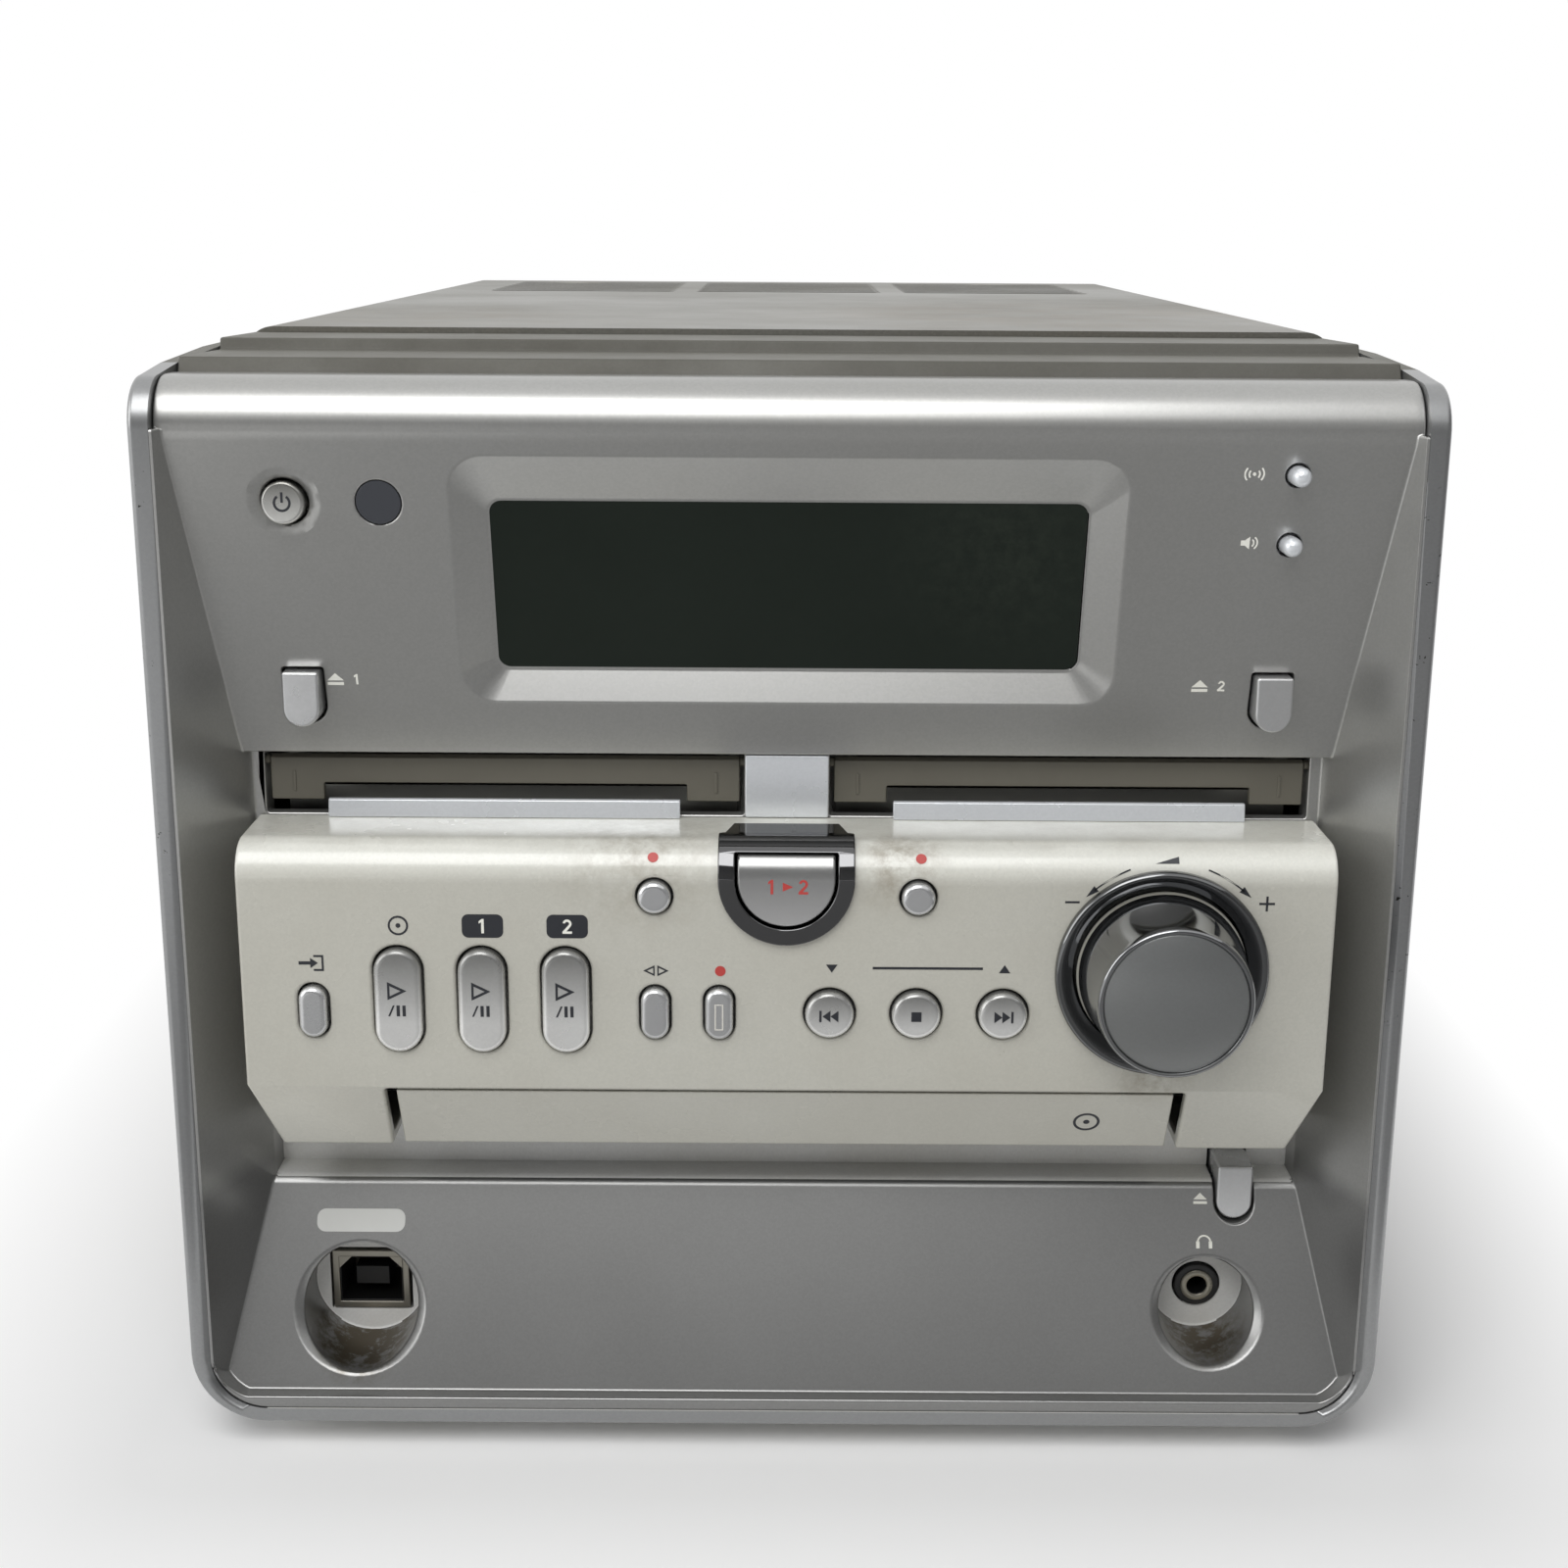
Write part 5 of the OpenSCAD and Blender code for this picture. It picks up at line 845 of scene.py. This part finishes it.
@dataclass
class Housing:
    """Silver mouldings of the front, the metal cabinet and its feet."""

    frame_edge: float = 1.0
    frame_top: float = 168.0
    frame_side: float = 104.5
    frame_wall: float = 3.5
    frame_deep: float = 54.0
    frame_taper: float = 4.6
    roll_r: float = 8.0
    roll_height: float = 175.0
    corner_r: float = 13.0
    panel_edge: float = 0.35
    panel_angle: float = 18.0
    rail: tuple[Point, ...] = ((16.5, 184.3), (36.0, 185.8), (54.0, 186.3))
    groove: Point = (13.0, 181.5)
    hollow: Point = (22.0, 104.0)
    ledge_deep: float = 19.5
    step_floor: float = 184.0
    outward: float = 0.7
    level: float = 0.8
    sideways: float = 0.5

    def build(self) -> None:
        """Dresses the mouldings, the cover and the chassis."""
        legs = copy_node("outer_frame", "outer_frame_legs", SHARP, FLAT)
        with editing(legs):
            bpy.ops.mesh.bisect(plane_co=at(0, 0, self.frame_top), plane_no=(0, 0, 1), use_fill=True,
                                clear_outer=True)
        Edges(self.frame_edge, 4, chosen=self._on_outer_edge).soften(legs)
        ends = [self._frame_end(f"frame_end_{side}", side) for side in (-1, 1)]
        whole = joined("outer_frame_dressed", [legs, *ends])
        self._paint_steps(add(whole, Paint.FRAME, node="outer_frame"))
        edges = Edges(self.panel_edge, angle=self.panel_angle, chosen=self._outside_hollow)
        self._paint_steps(dress("front_panel", Paint.SILVER, edges=edges))
        dress("top_cover", Paint.COVER, edges=SHARP, flatten=0.0)
        for node in ("rear_panel", "base_chassis"):
            dress(node, Paint.STEEL, edges=SHARP, flatten=0.0)
        dress("feet", Paint.RUBBER, edges=SHARP)
        dress("cover_screws", Paint.STEEL, edges=SHARP)

    def _on_outer_edge(self, first: Vector, second: Vector) -> bool:
        """Whether an edge of the frame lies on its outer outline, below the rolled ends."""
        middle = (first + second) / 2
        x, height = abs(middle.x) / MM, depth_height(middle)[1]
        away = math.hypot(max(x - self.frame_side + self.corner_r, 0.0), max(self.corner_r - height, 0.0))
        return height < self.frame_top - RIM and away > self.corner_r - self.frame_edge

    def _frame_end(self, name: str, side: int) -> Piece:
        """Upper end of one leg of the frame, which follows the rolled top edge.

        Args:
            name: Name of the piece.
            side: 1 for the right leg, -1 for the left one.

        Returns:
            The end, with rounded outer edges.
        """
        r, low = self.roll_r, self.frame_top
        roll = arc(r, self.roll_height, r, 180, 90, 12)
        outline = [(self.frame_deep, low), (0.0, low), *roll, *self.rail]
        turn = Matrix.Rotation(QUARTER, 4, "Z") @ Matrix.Rotation(QUARTER, 4, "X")
        near = self.frame_side - self.frame_wall if side > 0 else -self.frame_side
        end = slab(name, outline, self.frame_wall, Matrix.Translation(at(near, 0, 0)) @ turn)
        with editing(end):
            bpy.ops.mesh.bisect(plane_co=at(0, r, 0), plane_no=(0, 1, 0))
        for vertex in end.data.vertices:
            vertex.co.x -= side * self._drawn_in(vertex.co)
        floor = BASE_Z + (low + RIM) * MM
        outer = (self.frame_side - RIM) * MM
        Edges(self.frame_edge, 4, chosen=lambda a, b: max(a.z, b.z) > floor and all(
            abs(p.x) + self._drawn_in(p) > outer for p in (a, b))).soften(end)
        return end

    def _outside_hollow(self, first: Vector, second: Vector) -> bool:
        """Whether an edge of the face panel lies outside the deep hollow behind the tray's front."""
        spots = [depth_height(p) for p in (first, second)]
        return not all(depth > self.hollow[0] and height < self.hollow[1] for depth, height in spots)

    def _drawn_in(self, point: Vector) -> float:
        """How far the frame's side is drawn in at a point behind the rolled edge, in metres."""
        back = max(depth_height(point)[0] - self.roll_r, 0.0)
        return self.frame_taper * back / (self.frame_deep - self.roll_r) * MM

    def _paint_steps(self, panel: Piece) -> None:
        """Gives the steps behind the rolled edge, and the deep hollow, their finishes face by face, with painted shade
        and light.
        """
        for finish in (Paint.TREAD, Paint.RISER, Paint.HOLLOW):
            panel.data.materials.append(finish.material())
        tread, riser, hollow = 1, 2, 3
        for face in panel.data.polygons:
            depth, height = depth_height(face.center)
            side = abs(face.normal.x)
            outside = face.normal.x * face.center.x > 0 and side > self.outward
            if depth > self.groove[0] and height > self.groove[1] and not outside:
                steep = face.normal.z < self.level or height < self.step_floor
                # Painted shade: steep step faces get the darker riser finish, flat ones the tread finish.
                face.material_index = riser if steep else tread
            elif depth > self.ledge_deep and height < self.hollow[1] and side < self.sideways:
                # Painted light: faces deep in the hollow get the lighter finish.
                face.material_index = hollow


@dataclass
class Display:
    """Smoked window, the display behind it, the remote window and the buttons of the upper face."""

    power_depth: float = 3.86
    ball_x: float = 81.4
    ball_r: float = 1.6
    flange_r: float = 2.8
    flange: float = 1.2
    stem: float = 7.65
    balls: tuple[tuple[str, float, float], ...] = (("upper", 168.4, 1.36), ("lower", 156.8, 4.45))

    def build(self) -> None:
        """Dresses the upper face."""
        dress("display_lens", Paint.LENS, edges=Edges(0.25))
        dress("display_module", Paint.GLASS, edges=SHARP)
        dress("remote_window", Paint.SENSOR, edges=Edges(0.2))
        dress("power_button", Paint.POWER, "power_button", Edges(0.6, 4))
        for name, height, depth in self.balls:
            self._ball(f"{name}_ball_button", height, depth)
        for name in ("left_eject_button", "right_eject_button"):
            dress(name, Paint.BUTTON, name, Edges(0.5, 3))
        Print(Face.CONTROL, Paint.INK_DARK, "button_silver", "power_button").put(
            "power_sign", Sign.POWER, -81.4, 163.0, 2.9, -self.power_depth)
        pale = Print(Face.UPPER, Paint.INK_PALE, "silver_paint")
        pale.put("left_eject_sign", Sign.EJECT, -76.1, 132.2, 2.2)
        pale.put("left_slot_number", Sign.ONE, -72.5, 132.2, 1.9)
        pale.put("right_eject_sign", Sign.EJECT, 69.4, 131.9, 2.2)
        pale.put("right_slot_number", Sign.TWO, 73.0, 131.9, 1.9)
        pale.put("wide_sound_sign", Sign.WAVES, 74.4, 168.6, 2.4)
        pale.put("bass_sign", Sign.BASS, 74.8, 157.1, 2.2)

    def _ball(self, node: str, height: float, depth: float) -> None:
        """One ball-ended button: its flange, its stem and the ball.

        Args:
            node: The CAD node that it stands for.
            height: Millimetres above the frame's underside.
            depth: Depth of the ball's middle behind the frame's front plane, in millimetres.
        """
        r, wide, back = self.ball_r, self.flange_r, -depth - self.stem
        profile = [(0.0, back - self.flange), (wide, back - self.flange), (wide, back), (r, back),
                   *arc(0, -depth, r, 0, 88, 14), (0.0, r - depth)]
        ball = turned(f"{node}_turned", profile, Face.CONTROL.place(self.ball_x, height), 48)
        add(ball, Paint.BRIGHT, node, node)


@dataclass
class Slots:
    """The two mini-disc slots: flaps, lips and the bridge between them."""

    inset: float = 7.0
    half: float = 0.25
    out: float = 0.2
    sunk: float = 0.3
    foot: float = 1.5
    top: float = 5.2

    def build(self) -> None:
        """Dresses the flaps and trims, and adds the ribs on the flaps' ears."""
        dress("slot_bridge", Paint.BRIGHT)
        dress("slot_lips", Paint.BRIGHT, edges=Edges(0.15))
        for side in ("left", "right"):
            node = f"{side}_flap"
            dress(node, Paint.TAUPE, node, Edges(0.25))
            low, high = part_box(node)
            ribs = [self._rib(f"{side}_rib_{i}", Vector((x, low.y, low.z)))
                    for i, x in enumerate((low.x + self.inset * MM, high.x - self.inset * MM))]
            add(joined(f"{side}_flap_ribs", ribs), Paint.TAUPE, node)

    def _rib(self, name: str, foot: Vector) -> Piece:
        """One short upright rib on the front of a flap, above a point of its lower edge."""
        return brick(name, foot + Vector((-self.half, -self.out, self.foot)) * MM,
                     foot + Vector((self.half, self.sunk, self.top)) * MM, 0.1)


@dataclass
class ControlPanel:
    """Raised panel with its push buttons and printed signs."""

    panel_edge: float = 0.6
    button_edge: float = 1.05
    proud: float = 1.3
    copy_proud: float = 0.6
    small: tuple[str, ...] = ("source", "tape", "tape_record", "record_mode", "record")
    skips: tuple[str, ...] = ("skip_back", "stop", "skip_forward")
    play: tuple[str, ...] = ("first", "second", "third")

    def build(self) -> None:
        """Dresses the panel and its buttons."""
        dress("control_panel", Paint.IVORY, edges=Edges(self.panel_edge, 4))
        plays = [f"{name}_play" for name in self.play]
        for names, finish in ((self.small, Paint.BUTTON), (self.skips, Paint.SKIP), (plays, Paint.PLAY)):
            for name in names:
                dress(f"{name}_button", finish, f"{name}_button", Edges(self.button_edge, 6))
        dress("copy_button", Paint.COPY, "copy_button", Edges(0.5, 4))
        dress("copy_ring_trim", Paint.DARK_CHROME, edges=Edges(0.25, 3))
        self._button_signs()
        self._panel_signs()

    def _on(self, button: str, finish: Finish = Paint.INK_DARK, roll: float = 0.0) -> Print:
        """Print on a button's face."""
        return Print(Face.CONTROL, finish, "button_silver", f"{button}_button", roll)

    def _button_signs(self) -> None:
        """Signs on the button faces."""
        for i, name in enumerate(self.play):
            self._on(f"{name}_play").put(f"{name}_play_sign", Sign.PLAY_PAUSE, -65.2 + 14.1 * i, 80.2, 3.2, self.proud)
        signs = ((Sign.BACK, 2.4), (Sign.STOP, 1.7), (Sign.FORWARD, 2.4))
        for i, (name, (sign, size)) in enumerate(zip(self.skips, signs)):
            self._on(name).put(f"{name}_sign", sign, 7.4 + 14.6 * i, 77.9, size, self.proud)

    def _panel_signs(self) -> None:
        """Signs printed on the panel itself, on the copy button and on the tape record button."""
        dark = Print(Face.CONTROL, Paint.INK_DARK, "ivory_plastic", roll=ROLL_R)
        red = Print(Face.CONTROL, Paint.INK_RED, "ivory_plastic", roll=ROLL_R)
        pale = Print(Face.CONTROL, Paint.INK_PALE, "ivory_plastic")
        dark.put("disc_sign", Sign.DISC, -64.8, 93.1, 3.4)
        for i, sign in enumerate((Sign.ONE, Sign.TWO)):
            x = -50.7 + 14.15 * i
            dark.plate(f"slot_badge_{i}", x, 93.1, round_box(6.9, 4.1, 1.1))
            pale.put(f"slot_badge_number_{i}", sign, x, 93.1, 2.5, INK)
        dark.put("source_sign", Sign.INPUT, -79.2, 86.4, 2.8)
        dark.put("tape_sign", Sign.BOTH_WAYS, -21.8, 85.4, 1.9)
        red.put("tape_record_sign", Sign.DOT, -11.0, 85.4, 1.8)
        dark.put("down_sign", Sign.DOWN, 7.7, 86.0, 1.9)
        dark.put("up_sign", Sign.UP, 36.7, 86.0, 1.9)
        dark.put("skip_line", Sign.BAR, 23.8, 86.1, 4.2)
        rolled = Print(Face.ROLL, Paint.INK_RED, "ivory_plastic")
        rolled.put("record_mode_sign", Sign.DOT, -22.2, 104.82, 1.8)
        rolled.put("record_sign", Sign.DOT, 22.4, 104.82, 1.8)
        Print(Face.ROLL, Paint.INK_DARK, "ivory_plastic").put("level_sign", Sign.WEDGE, 63.3, 104.82, 1.5)
        self._on("copy", Paint.INK_RED, ROLL_R + self.copy_proud).put(
            "copy_sign", Sign.COPY, 0.2, 100.4, 2.5, self.copy_proud)
        self._on("tape_record", Paint.WHITE).put("tape_record_inset", Sign.WINDOW, -11.2, 77.6, 4.6, self.proud)


@dataclass
class VolumeControl:
    """Chrome volume knob, its ring and the scale printed round it."""

    x: float = 63.0
    height: float = 85.6
    out: float = 15.5
    bore_r: float = 3.02
    face_r: float = 12.7
    foot_r: float = 14.0
    ring_r: float = 17.9
    arrow_r: float = 19.0
    rim: float = 0.75
    line: float = 0.12
    sweeps: tuple[tuple[str, int, int, int], ...] = (("left", 131, 110, 1), ("right", 49, 70, -1))
    head: tuple[Point, ...] = ((1.7, 0.0), (-0.5, 0.6), (-0.5, -0.6))

    def build(self) -> None:
        """Models the knob and the ring, and prints the scale."""
        place = Face.CONTROL.place(self.x, self.height)
        top, rim, face, foot, ring = self.out, self.rim, self.face_r, self.foot_r, self.ring_r
        skirt = [(self.bore_r, 0.6), (foot - 0.3, 0.6), (foot, 0.9), (foot, 2.6), (foot - 0.25, 3.0)]
        edge = [(face + 0.12, top - 1.5), *arc(face - 0.55, top - 0.55, 0.55, 5, 88, 7), (face - rim, top),
                (face - rim - 0.15, top - 0.2), (face - rim - 0.15, top - 1.2), (self.bore_r, top - 1.2)]
        body = turned("volume_knob_body", skirt + edge, place, 128)
        add(body, Paint.CHROME, "volume_knob", "volume_knob")
        inner = face - rim - 0.2
        disc = [(0.0, top - 1.1), (inner, top - 1.1), (inner, top - 0.35), (inner - 0.2, top - 0.2), (0.0, top - 0.12)]
        add(turned("volume_knob_face", disc, place, 96), Paint.KNOB_FACE, "volume_knob")
        lip = [(ring, 0.03), (ring, 0.5), *arc(ring - 0.8, 0.85, 0.8, 10, 100, 7)]
        bowl = [(ring - 1.5, 1.5), (ring - 2.1, 1.15), (ring - 2.8, 0.6), (foot + 0.3, 0.22), (foot + 0.3, 0.03)]
        rounded = turned("volume_ring_turned", lip + bowl, place, 128)
        add(rounded, Paint.RING_CHROME, node="volume_ring")
        self._scale()

    def _scale(self) -> None:
        """Plus and minus signs and the two turning arrows."""
        dark = Print(Face.CONTROL, Paint.INK_DARK, "ivory_plastic")
        dark.put("minus_sign", Sign.MINUS, 47.6, 97.9, 2.4)
        dark.put("plus_sign", Sign.PLUS, 80.0, 97.8, 2.6)
        r, place = self.arrow_r, Face.CONTROL.place(self.x + 0.6, self.height)
        for name, start, end, way in self.sweeps:
            sweep = slab(f"{name}_sweep", ring_part(r - self.line, r + self.line, start, end), INK, place)
            tip = math.radians(start)
            lean = tip + way * QUARTER
            head = [(r * math.cos(tip) + d * math.cos(lean) - w * math.cos(tip),
                     r * math.sin(tip) + d * math.sin(lean) - w * math.sin(tip)) for d, w in self.head]
            sign = joined(f"{name}_turn_arrow", [sweep, slab(f"{name}_head", head, INK, place)])
            wrap_roll(sign, ROLL_R)
            add(sign, Paint.INK_DARK)


@dataclass
class DiscLoader:
    """Disc tray, its front and the mechanism that shows when the tray is out."""

    def build(self) -> None:
        """Dresses the tray and the loader."""
        dress("tray_front", Paint.IVORY, "disc_tray", Edges(0.35, 3))
        dress("disc_tray", Paint.BLACK, "disc_tray", Edges(0.2))
        dress("tray_eject_button", Paint.BUTTON, "tray_eject_button", Edges(0.5, 3))
        dress("loader_frame", Paint.BLACK, edges=SHARP)
        for node in ("turntable", "clamper", "pickup_sled"):
            dress(node, Paint.BLACK, node, SHARP)
        dress("drive_gear", Paint.CORE, "drive_gear", SHARP)
        Print(Face.LOWER, Paint.INK_PALE, "silver_paint").put("tray_eject_sign", Sign.EJECT, 75.4, 36.1, 2.0)
        Print(Face.STRIP, Paint.INK_DARK, "ivory_plastic", "disc_tray").put(
            "tray_disc_sign", Sign.DISC, 52.2, 56.6, 4.6)


@dataclass
class Sockets:
    """Data socket and phones jack in the two lower recesses."""

    x: float = 76.0
    height: float = 18.0
    jack_front: float = 19.4
    mouth_front: float = 19.9
    liner_deep: float = 13.2
    mouth_w: float = 11.56
    mouth_h: float = 8.96
    tongue_w: float = 6.1
    tongue_h: float = 3.5
    tongue_back: float = 1.4
    corner: float = 2.3
    collar: tuple[Point, ...] = ((1.85, 0.02), (1.85, 0.3), (2.0, 0.42), (2.75, 0.42), (2.95, 0.28), (2.95, 0.02))

    def build(self) -> None:
        """Dresses the sockets and adds their inner parts and signs."""
        dress("data_socket", Paint.SHELL, edges=Edges(0.15))
        add(joined("data_socket_corners", self._corners()), Paint.SHELL)
        dress("phones_jack", Paint.BLACK, edges=Edges(0.25))
        add(joined("data_socket_liner", self._liner()), Paint.PIT)
        ring = turned("phones_collar", self.collar, facing(at(self.x, self.jack_front, self.height)), 48)
        add(ring, Paint.COLLAR)
        Print(Face.LOWER, Paint.PLATE, "silver_paint").plate("data_plate", -76.5, 31.8, round_box(15.9, 4.1, 1.6))
        Print(Face.LOWER, Paint.INK_PALE, "silver_paint").put("phones_sign", Sign.PHONES, 75.9, 29.1, 2.6)

    def _corners(self) -> list[Piece]:
        """The two cut upper corners of the data socket's mouth."""
        w, h, c = self.mouth_w / 2, self.mouth_h / 2, self.corner
        place = facing(at(-self.x, self.mouth_front, self.height))
        return [slab(f"corner_{i}", [(s * w, h), (s * (w - c), h), (s * w, h - c)][::s], 0.2, place)
                for i, s in enumerate((1, -1))]

    def _liner(self) -> list[Piece]:
        """Black insulator inside the data socket: four walls, a back and the sleeve of its tongue."""
        x, z, w, h, t = -self.x, self.height, self.mouth_w / 2, self.mouth_h / 2, 0.25
        near, far = self.mouth_front, self.mouth_front + self.liner_deep
        wide, high = self.tongue_w / 2, self.tongue_h / 2
        spans = ((-w, near, h - t, w, far, h), (-w, near, -h, w, far, -h + t), (-w, near, -h, -w + t, far, h),
                 (w - t, near, -h, w, far, h), (-w, far - 0.4, -h, w, far, h),
                 (-wide, near + self.tongue_back, -high, wide, far, high))
        return [brick(f"liner_{i}", at(x + x0, y0, z + z0), at(x + x1, y1, z + z1), 0.08)
                for i, (x0, y0, z0, x1, y1, z1) in enumerate(spans)]


@dataclass
class RearSide:
    """Terminals, jacks and the mains inlet on the rear panel, and a black sheet that paints shade behind its air
    slits.
    """

    panel_depth: float = 338.0
    jack_x: float = 22.0
    jack_height: float = 60.0
    pitch: float = 16.0
    columns: int = 3
    levers: tuple[float, ...] = (-74.0, -50.0)
    lever_height: float = 38.0
    sleeve: tuple[float, float, float, float] = (341.2, 345.7, 4.75, 5.25)
    collar: tuple[Point, ...] = ((4.15, 0.05), (6.2, 0.05), (6.2, 1.1), (5.9, 1.4), (4.45, 1.4), (4.15, 1.2))

    def build(self) -> None:
        """Dresses the rear sockets."""
        self._collars()
        self._sleeves()
        # Painted shade: a black sheet just inside the rear panel makes the air slits look dark.
        screen = brick("slit_shade_sheet", at(-64.0, 336.0, 112.0), at(64.0, 336.6, 168.0), 0.1)
        add(screen, Paint.PIT)
        dress("speaker_terminals", Paint.BLACK)
        dress("signal_jacks", Paint.PLATED, edges=Edges(0.15))
        dress("mains_inlet", Paint.BLACK, edges=Edges(0.2))

    def _collars(self) -> None:
        """Coloured collars round the signal jacks, white in the upper row and red in the lower one."""
        for row, (name, finish) in enumerate((("red", Paint.RED), ("white", Paint.WHITE))):
            height = self.jack_height + row * self.pitch
            spots = [at(self.jack_x + i * self.pitch, self.panel_depth, height) for i in range(self.columns)]
            rings = [turned(f"{name}_collar_{i}", self.collar, facing(spot, -QUARTER), 40)
                     for i, spot in enumerate(spots)]
            add(joined(f"{name}_jack_collars", rings), finish)

    def _sleeves(self) -> None:
        """Red sleeves round every other lever of the speaker terminals."""
        near, far, wide, high = self.sleeve
        z = self.lever_height
        caps = [brick(f"cap_{i}", at(x - wide, near, z - high), at(x + wide, far, z + high), 0.5)
                for i, x in enumerate(self.levers)]
        add(joined("terminal_caps", caps), Paint.RED)


@dataclass
class Inside:
    """Pieces behind the mouldings, which keep their solids and get their finish."""

    finishes: dict[str, Finish] = field(default_factory=lambda: {
        "switch_board": Paint.BOARD, "main_board": Paint.BOARD, "power_transformer": Paint.WINDING,
        "heat_sink": Paint.BLACK, **dict.fromkeys((
            "drive_shelf", "clamp_bridge", "pickup_rods", "left_drive", "right_drive", "volume_encoder",
            "spindle_motor", "encoder_shaft"), Paint.STEEL),
    })

    def build(self) -> None:
        """Paints the inner nodes."""
        for node, finish in self.finishes.items():
            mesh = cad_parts[node].data
            mesh.materials.clear()
            mesh.materials.append(finish.material())
            LOG.info("%s painted", node)


@dataclass
class Studio:
    """Floor, soft light and the camera of the photograph."""

    lens: float = 50.02
    sensor: float = 36.0
    near: float = 0.02
    pitch: float = 14.65
    roll: float = 0.35
    spot: Spot = (-0.0005, -0.511, 0.2133)
    sky: float = 0.36
    foot: Point = (0.105, 0.17)
    shade_reach: Point = (0.01, 0.08)
    floor_side: float = 8.0
    white: float = 0.92
    dark: float = 0.34
    matt: float = 0.9

    def build(self) -> None:
        """Sets up the scene round the object."""
        bpy.context.scene.view_settings.view_transform = "Standard"
        self._camera()
        self._floor()
        self._card("right_card", (1.1, -0.45, 0.45), (0.0, 90.0), (0.9, 1.5))
        self._card("front_mat", (0.475, -0.78, 0.002), (0.0, 0.0), (1.35, 1.1))
        self._card("rear_card", (0.0, -1.6, 0.5), (90.0, 0.0), (3.0, 1.0))
        self._world()
        self._lamp("front_high", (-0.2, -0.87, 1.08), (0.0, -0.1, 0.1), 0.8, 8.5)
        self._lamp("left_fill", (-1.3, -0.6, 0.6), (0.0, 0.0, 0.1), 0.9, 5.5)

    def _camera(self) -> None:
        """The photograph's camera."""
        data = bpy.data.cameras.new("camera")
        data.lens = self.lens
        data.sensor_width = self.sensor
        data.clip_start = self.near
        camera = bpy.data.objects.new("camera", data)
        bpy.context.scene.collection.objects.link(camera)
        tip = facing(self.spot, math.radians(90 - self.pitch))
        camera.matrix_world = tip @ Matrix.Rotation(math.radians(self.roll), 4, "Z")
        bpy.context.scene.camera = camera

    def _shown(self, graph: Graph) -> Socket:
        """Light path mask of what looks at the background directly, by reflection or through glass."""
        path = graph.node("LightPath").outputs
        both = graph.math("MAXIMUM", path["Is Camera Ray"], path["Is Glossy Ray"])
        return graph.math("MAXIMUM", both, path["Is Transmission Ray"])

    def _sheet(self, name: str, place: Matrix, look: str, tone: float) -> tuple[Piece, bpy.types.NodeTree]:
        """A flat matt sheet of the studio.

        Args:
            name: Name of the sheet.
            place: Frame that carries a square of one metre to its place and size.
            look: Name of its material.
            tone: Its linear grey.

        Returns:
            The sheet and the nodes of its material.
        """
        clear_selection()
        bpy.ops.mesh.primitive_plane_add(size=1.0, location=(0, 0, 0))
        sheet = bpy.context.object
        sheet.name = name
        sheet.data.transform(place)
        made = bpy.data.materials.new(look)
        made.use_nodes = True
        values = {"Base Color": (tone, tone, tone, 1.0), "Roughness": self.matt}
        Graph(made.node_tree).feed(made.node_tree.nodes["Principled BSDF"], values)
        sheet.data.materials.append(made)
        return sheet, made.node_tree

    def _floor(self) -> None:
        """A white floor that keeps the object's shadow near its foot."""
        size = Matrix.Diagonal((self.floor_side, self.floor_side, 1.0, 1.0))
        floor, tree = self._sheet("floor", size, "floor_white", self.white)
        graph, shader = Graph(tree), tree.nodes["Principled BSDF"]
        graph.feed(shader, {"Specular IOR Level": 0.0})
        spot = graph.node("SeparateXYZ", {0: graph.node("TexCoord").outputs["Object"]}).outputs
        sides = [graph.math("MAXIMUM", graph.math("SUBTRACT", graph.math("ABSOLUTE", spot[i]), reach), 0.0)
                 for i, reach in enumerate(self.foot)]
        away = graph.math("SQRT", graph.math("ADD", *(graph.math("POWER", side, 2.0) for side in sides)))
        plain = graph.math("MULTIPLY", graph.ramp(away, *self.shade_reach), self._shown(graph))
        white = graph.node("Emission", {"Color": (1, 1, 1, 1), "Strength": 1.0})
        both = graph.node("MixShader", {0: plain, 1: shader.outputs[0], 2: white.outputs[0]})
        graph.feed(tree.nodes["Material Output"], {"Surface": both.outputs[0]})

    def _card(self, name: str, spot: Spot, turn: Point, size: Point) -> None:
        """A dark card that only shows as a reflection in the bright pieces.

        Args:
            name: Name of the card.
            spot: Its middle.
            turn: Its turns about the x and y axes, in degrees.
            size: Its two sides in metres.
        """
        lean = facing(spot, math.radians(turn[0])) @ Matrix.Rotation(math.radians(turn[1]), 4, "Y")
        card, _ = self._sheet(name, lean @ Matrix.Diagonal((*size, 1.0, 1.0)), name, self.dark)
        card.visible_camera = card.visible_diffuse = card.visible_shadow = False

    def _world(self) -> None:
        """White behind the object, and a plain grey light on it."""
        world = bpy.data.worlds.new("studio")
        bpy.context.scene.world = world
        world.use_nodes = True
        graph = Graph(world.node_tree)
        shown = graph.math("MULTIPLY", self._shown(graph), 1.0 - self.sky)
        strength = graph.math("ADD", shown, self.sky)
        graph.feed(world.node_tree.nodes["Background"], {"Color": (1, 1, 1, 1), "Strength": strength})

    def _lamp(self, name: str, spot: Spot, aim: Spot, size: float, power: float) -> None:
        """A soft square lamp that looks at a point."""
        data = bpy.data.lights.new(name, "AREA")
        data.size = size
        data.energy = power
        lamp = bpy.data.objects.new(name, data)
        bpy.context.scene.collection.objects.link(lamp)
        lamp.location = spot
        lamp.rotation_euler = (Vector(aim) - Vector(spot)).to_track_quat("-Z", "Y").to_euler()


def main() -> None:
    """Builds the unit and its studio."""
    logging.basicConfig(level=logging.INFO)
    clear_selection()
    for part in (Housing(), Display(), Slots(), ControlPanel(), VolumeControl(), DiscLoader(), Sockets(), RearSide(),
                 Inside()):
        part.build()
    Studio().build()


if __name__ == "__main__":
    main()
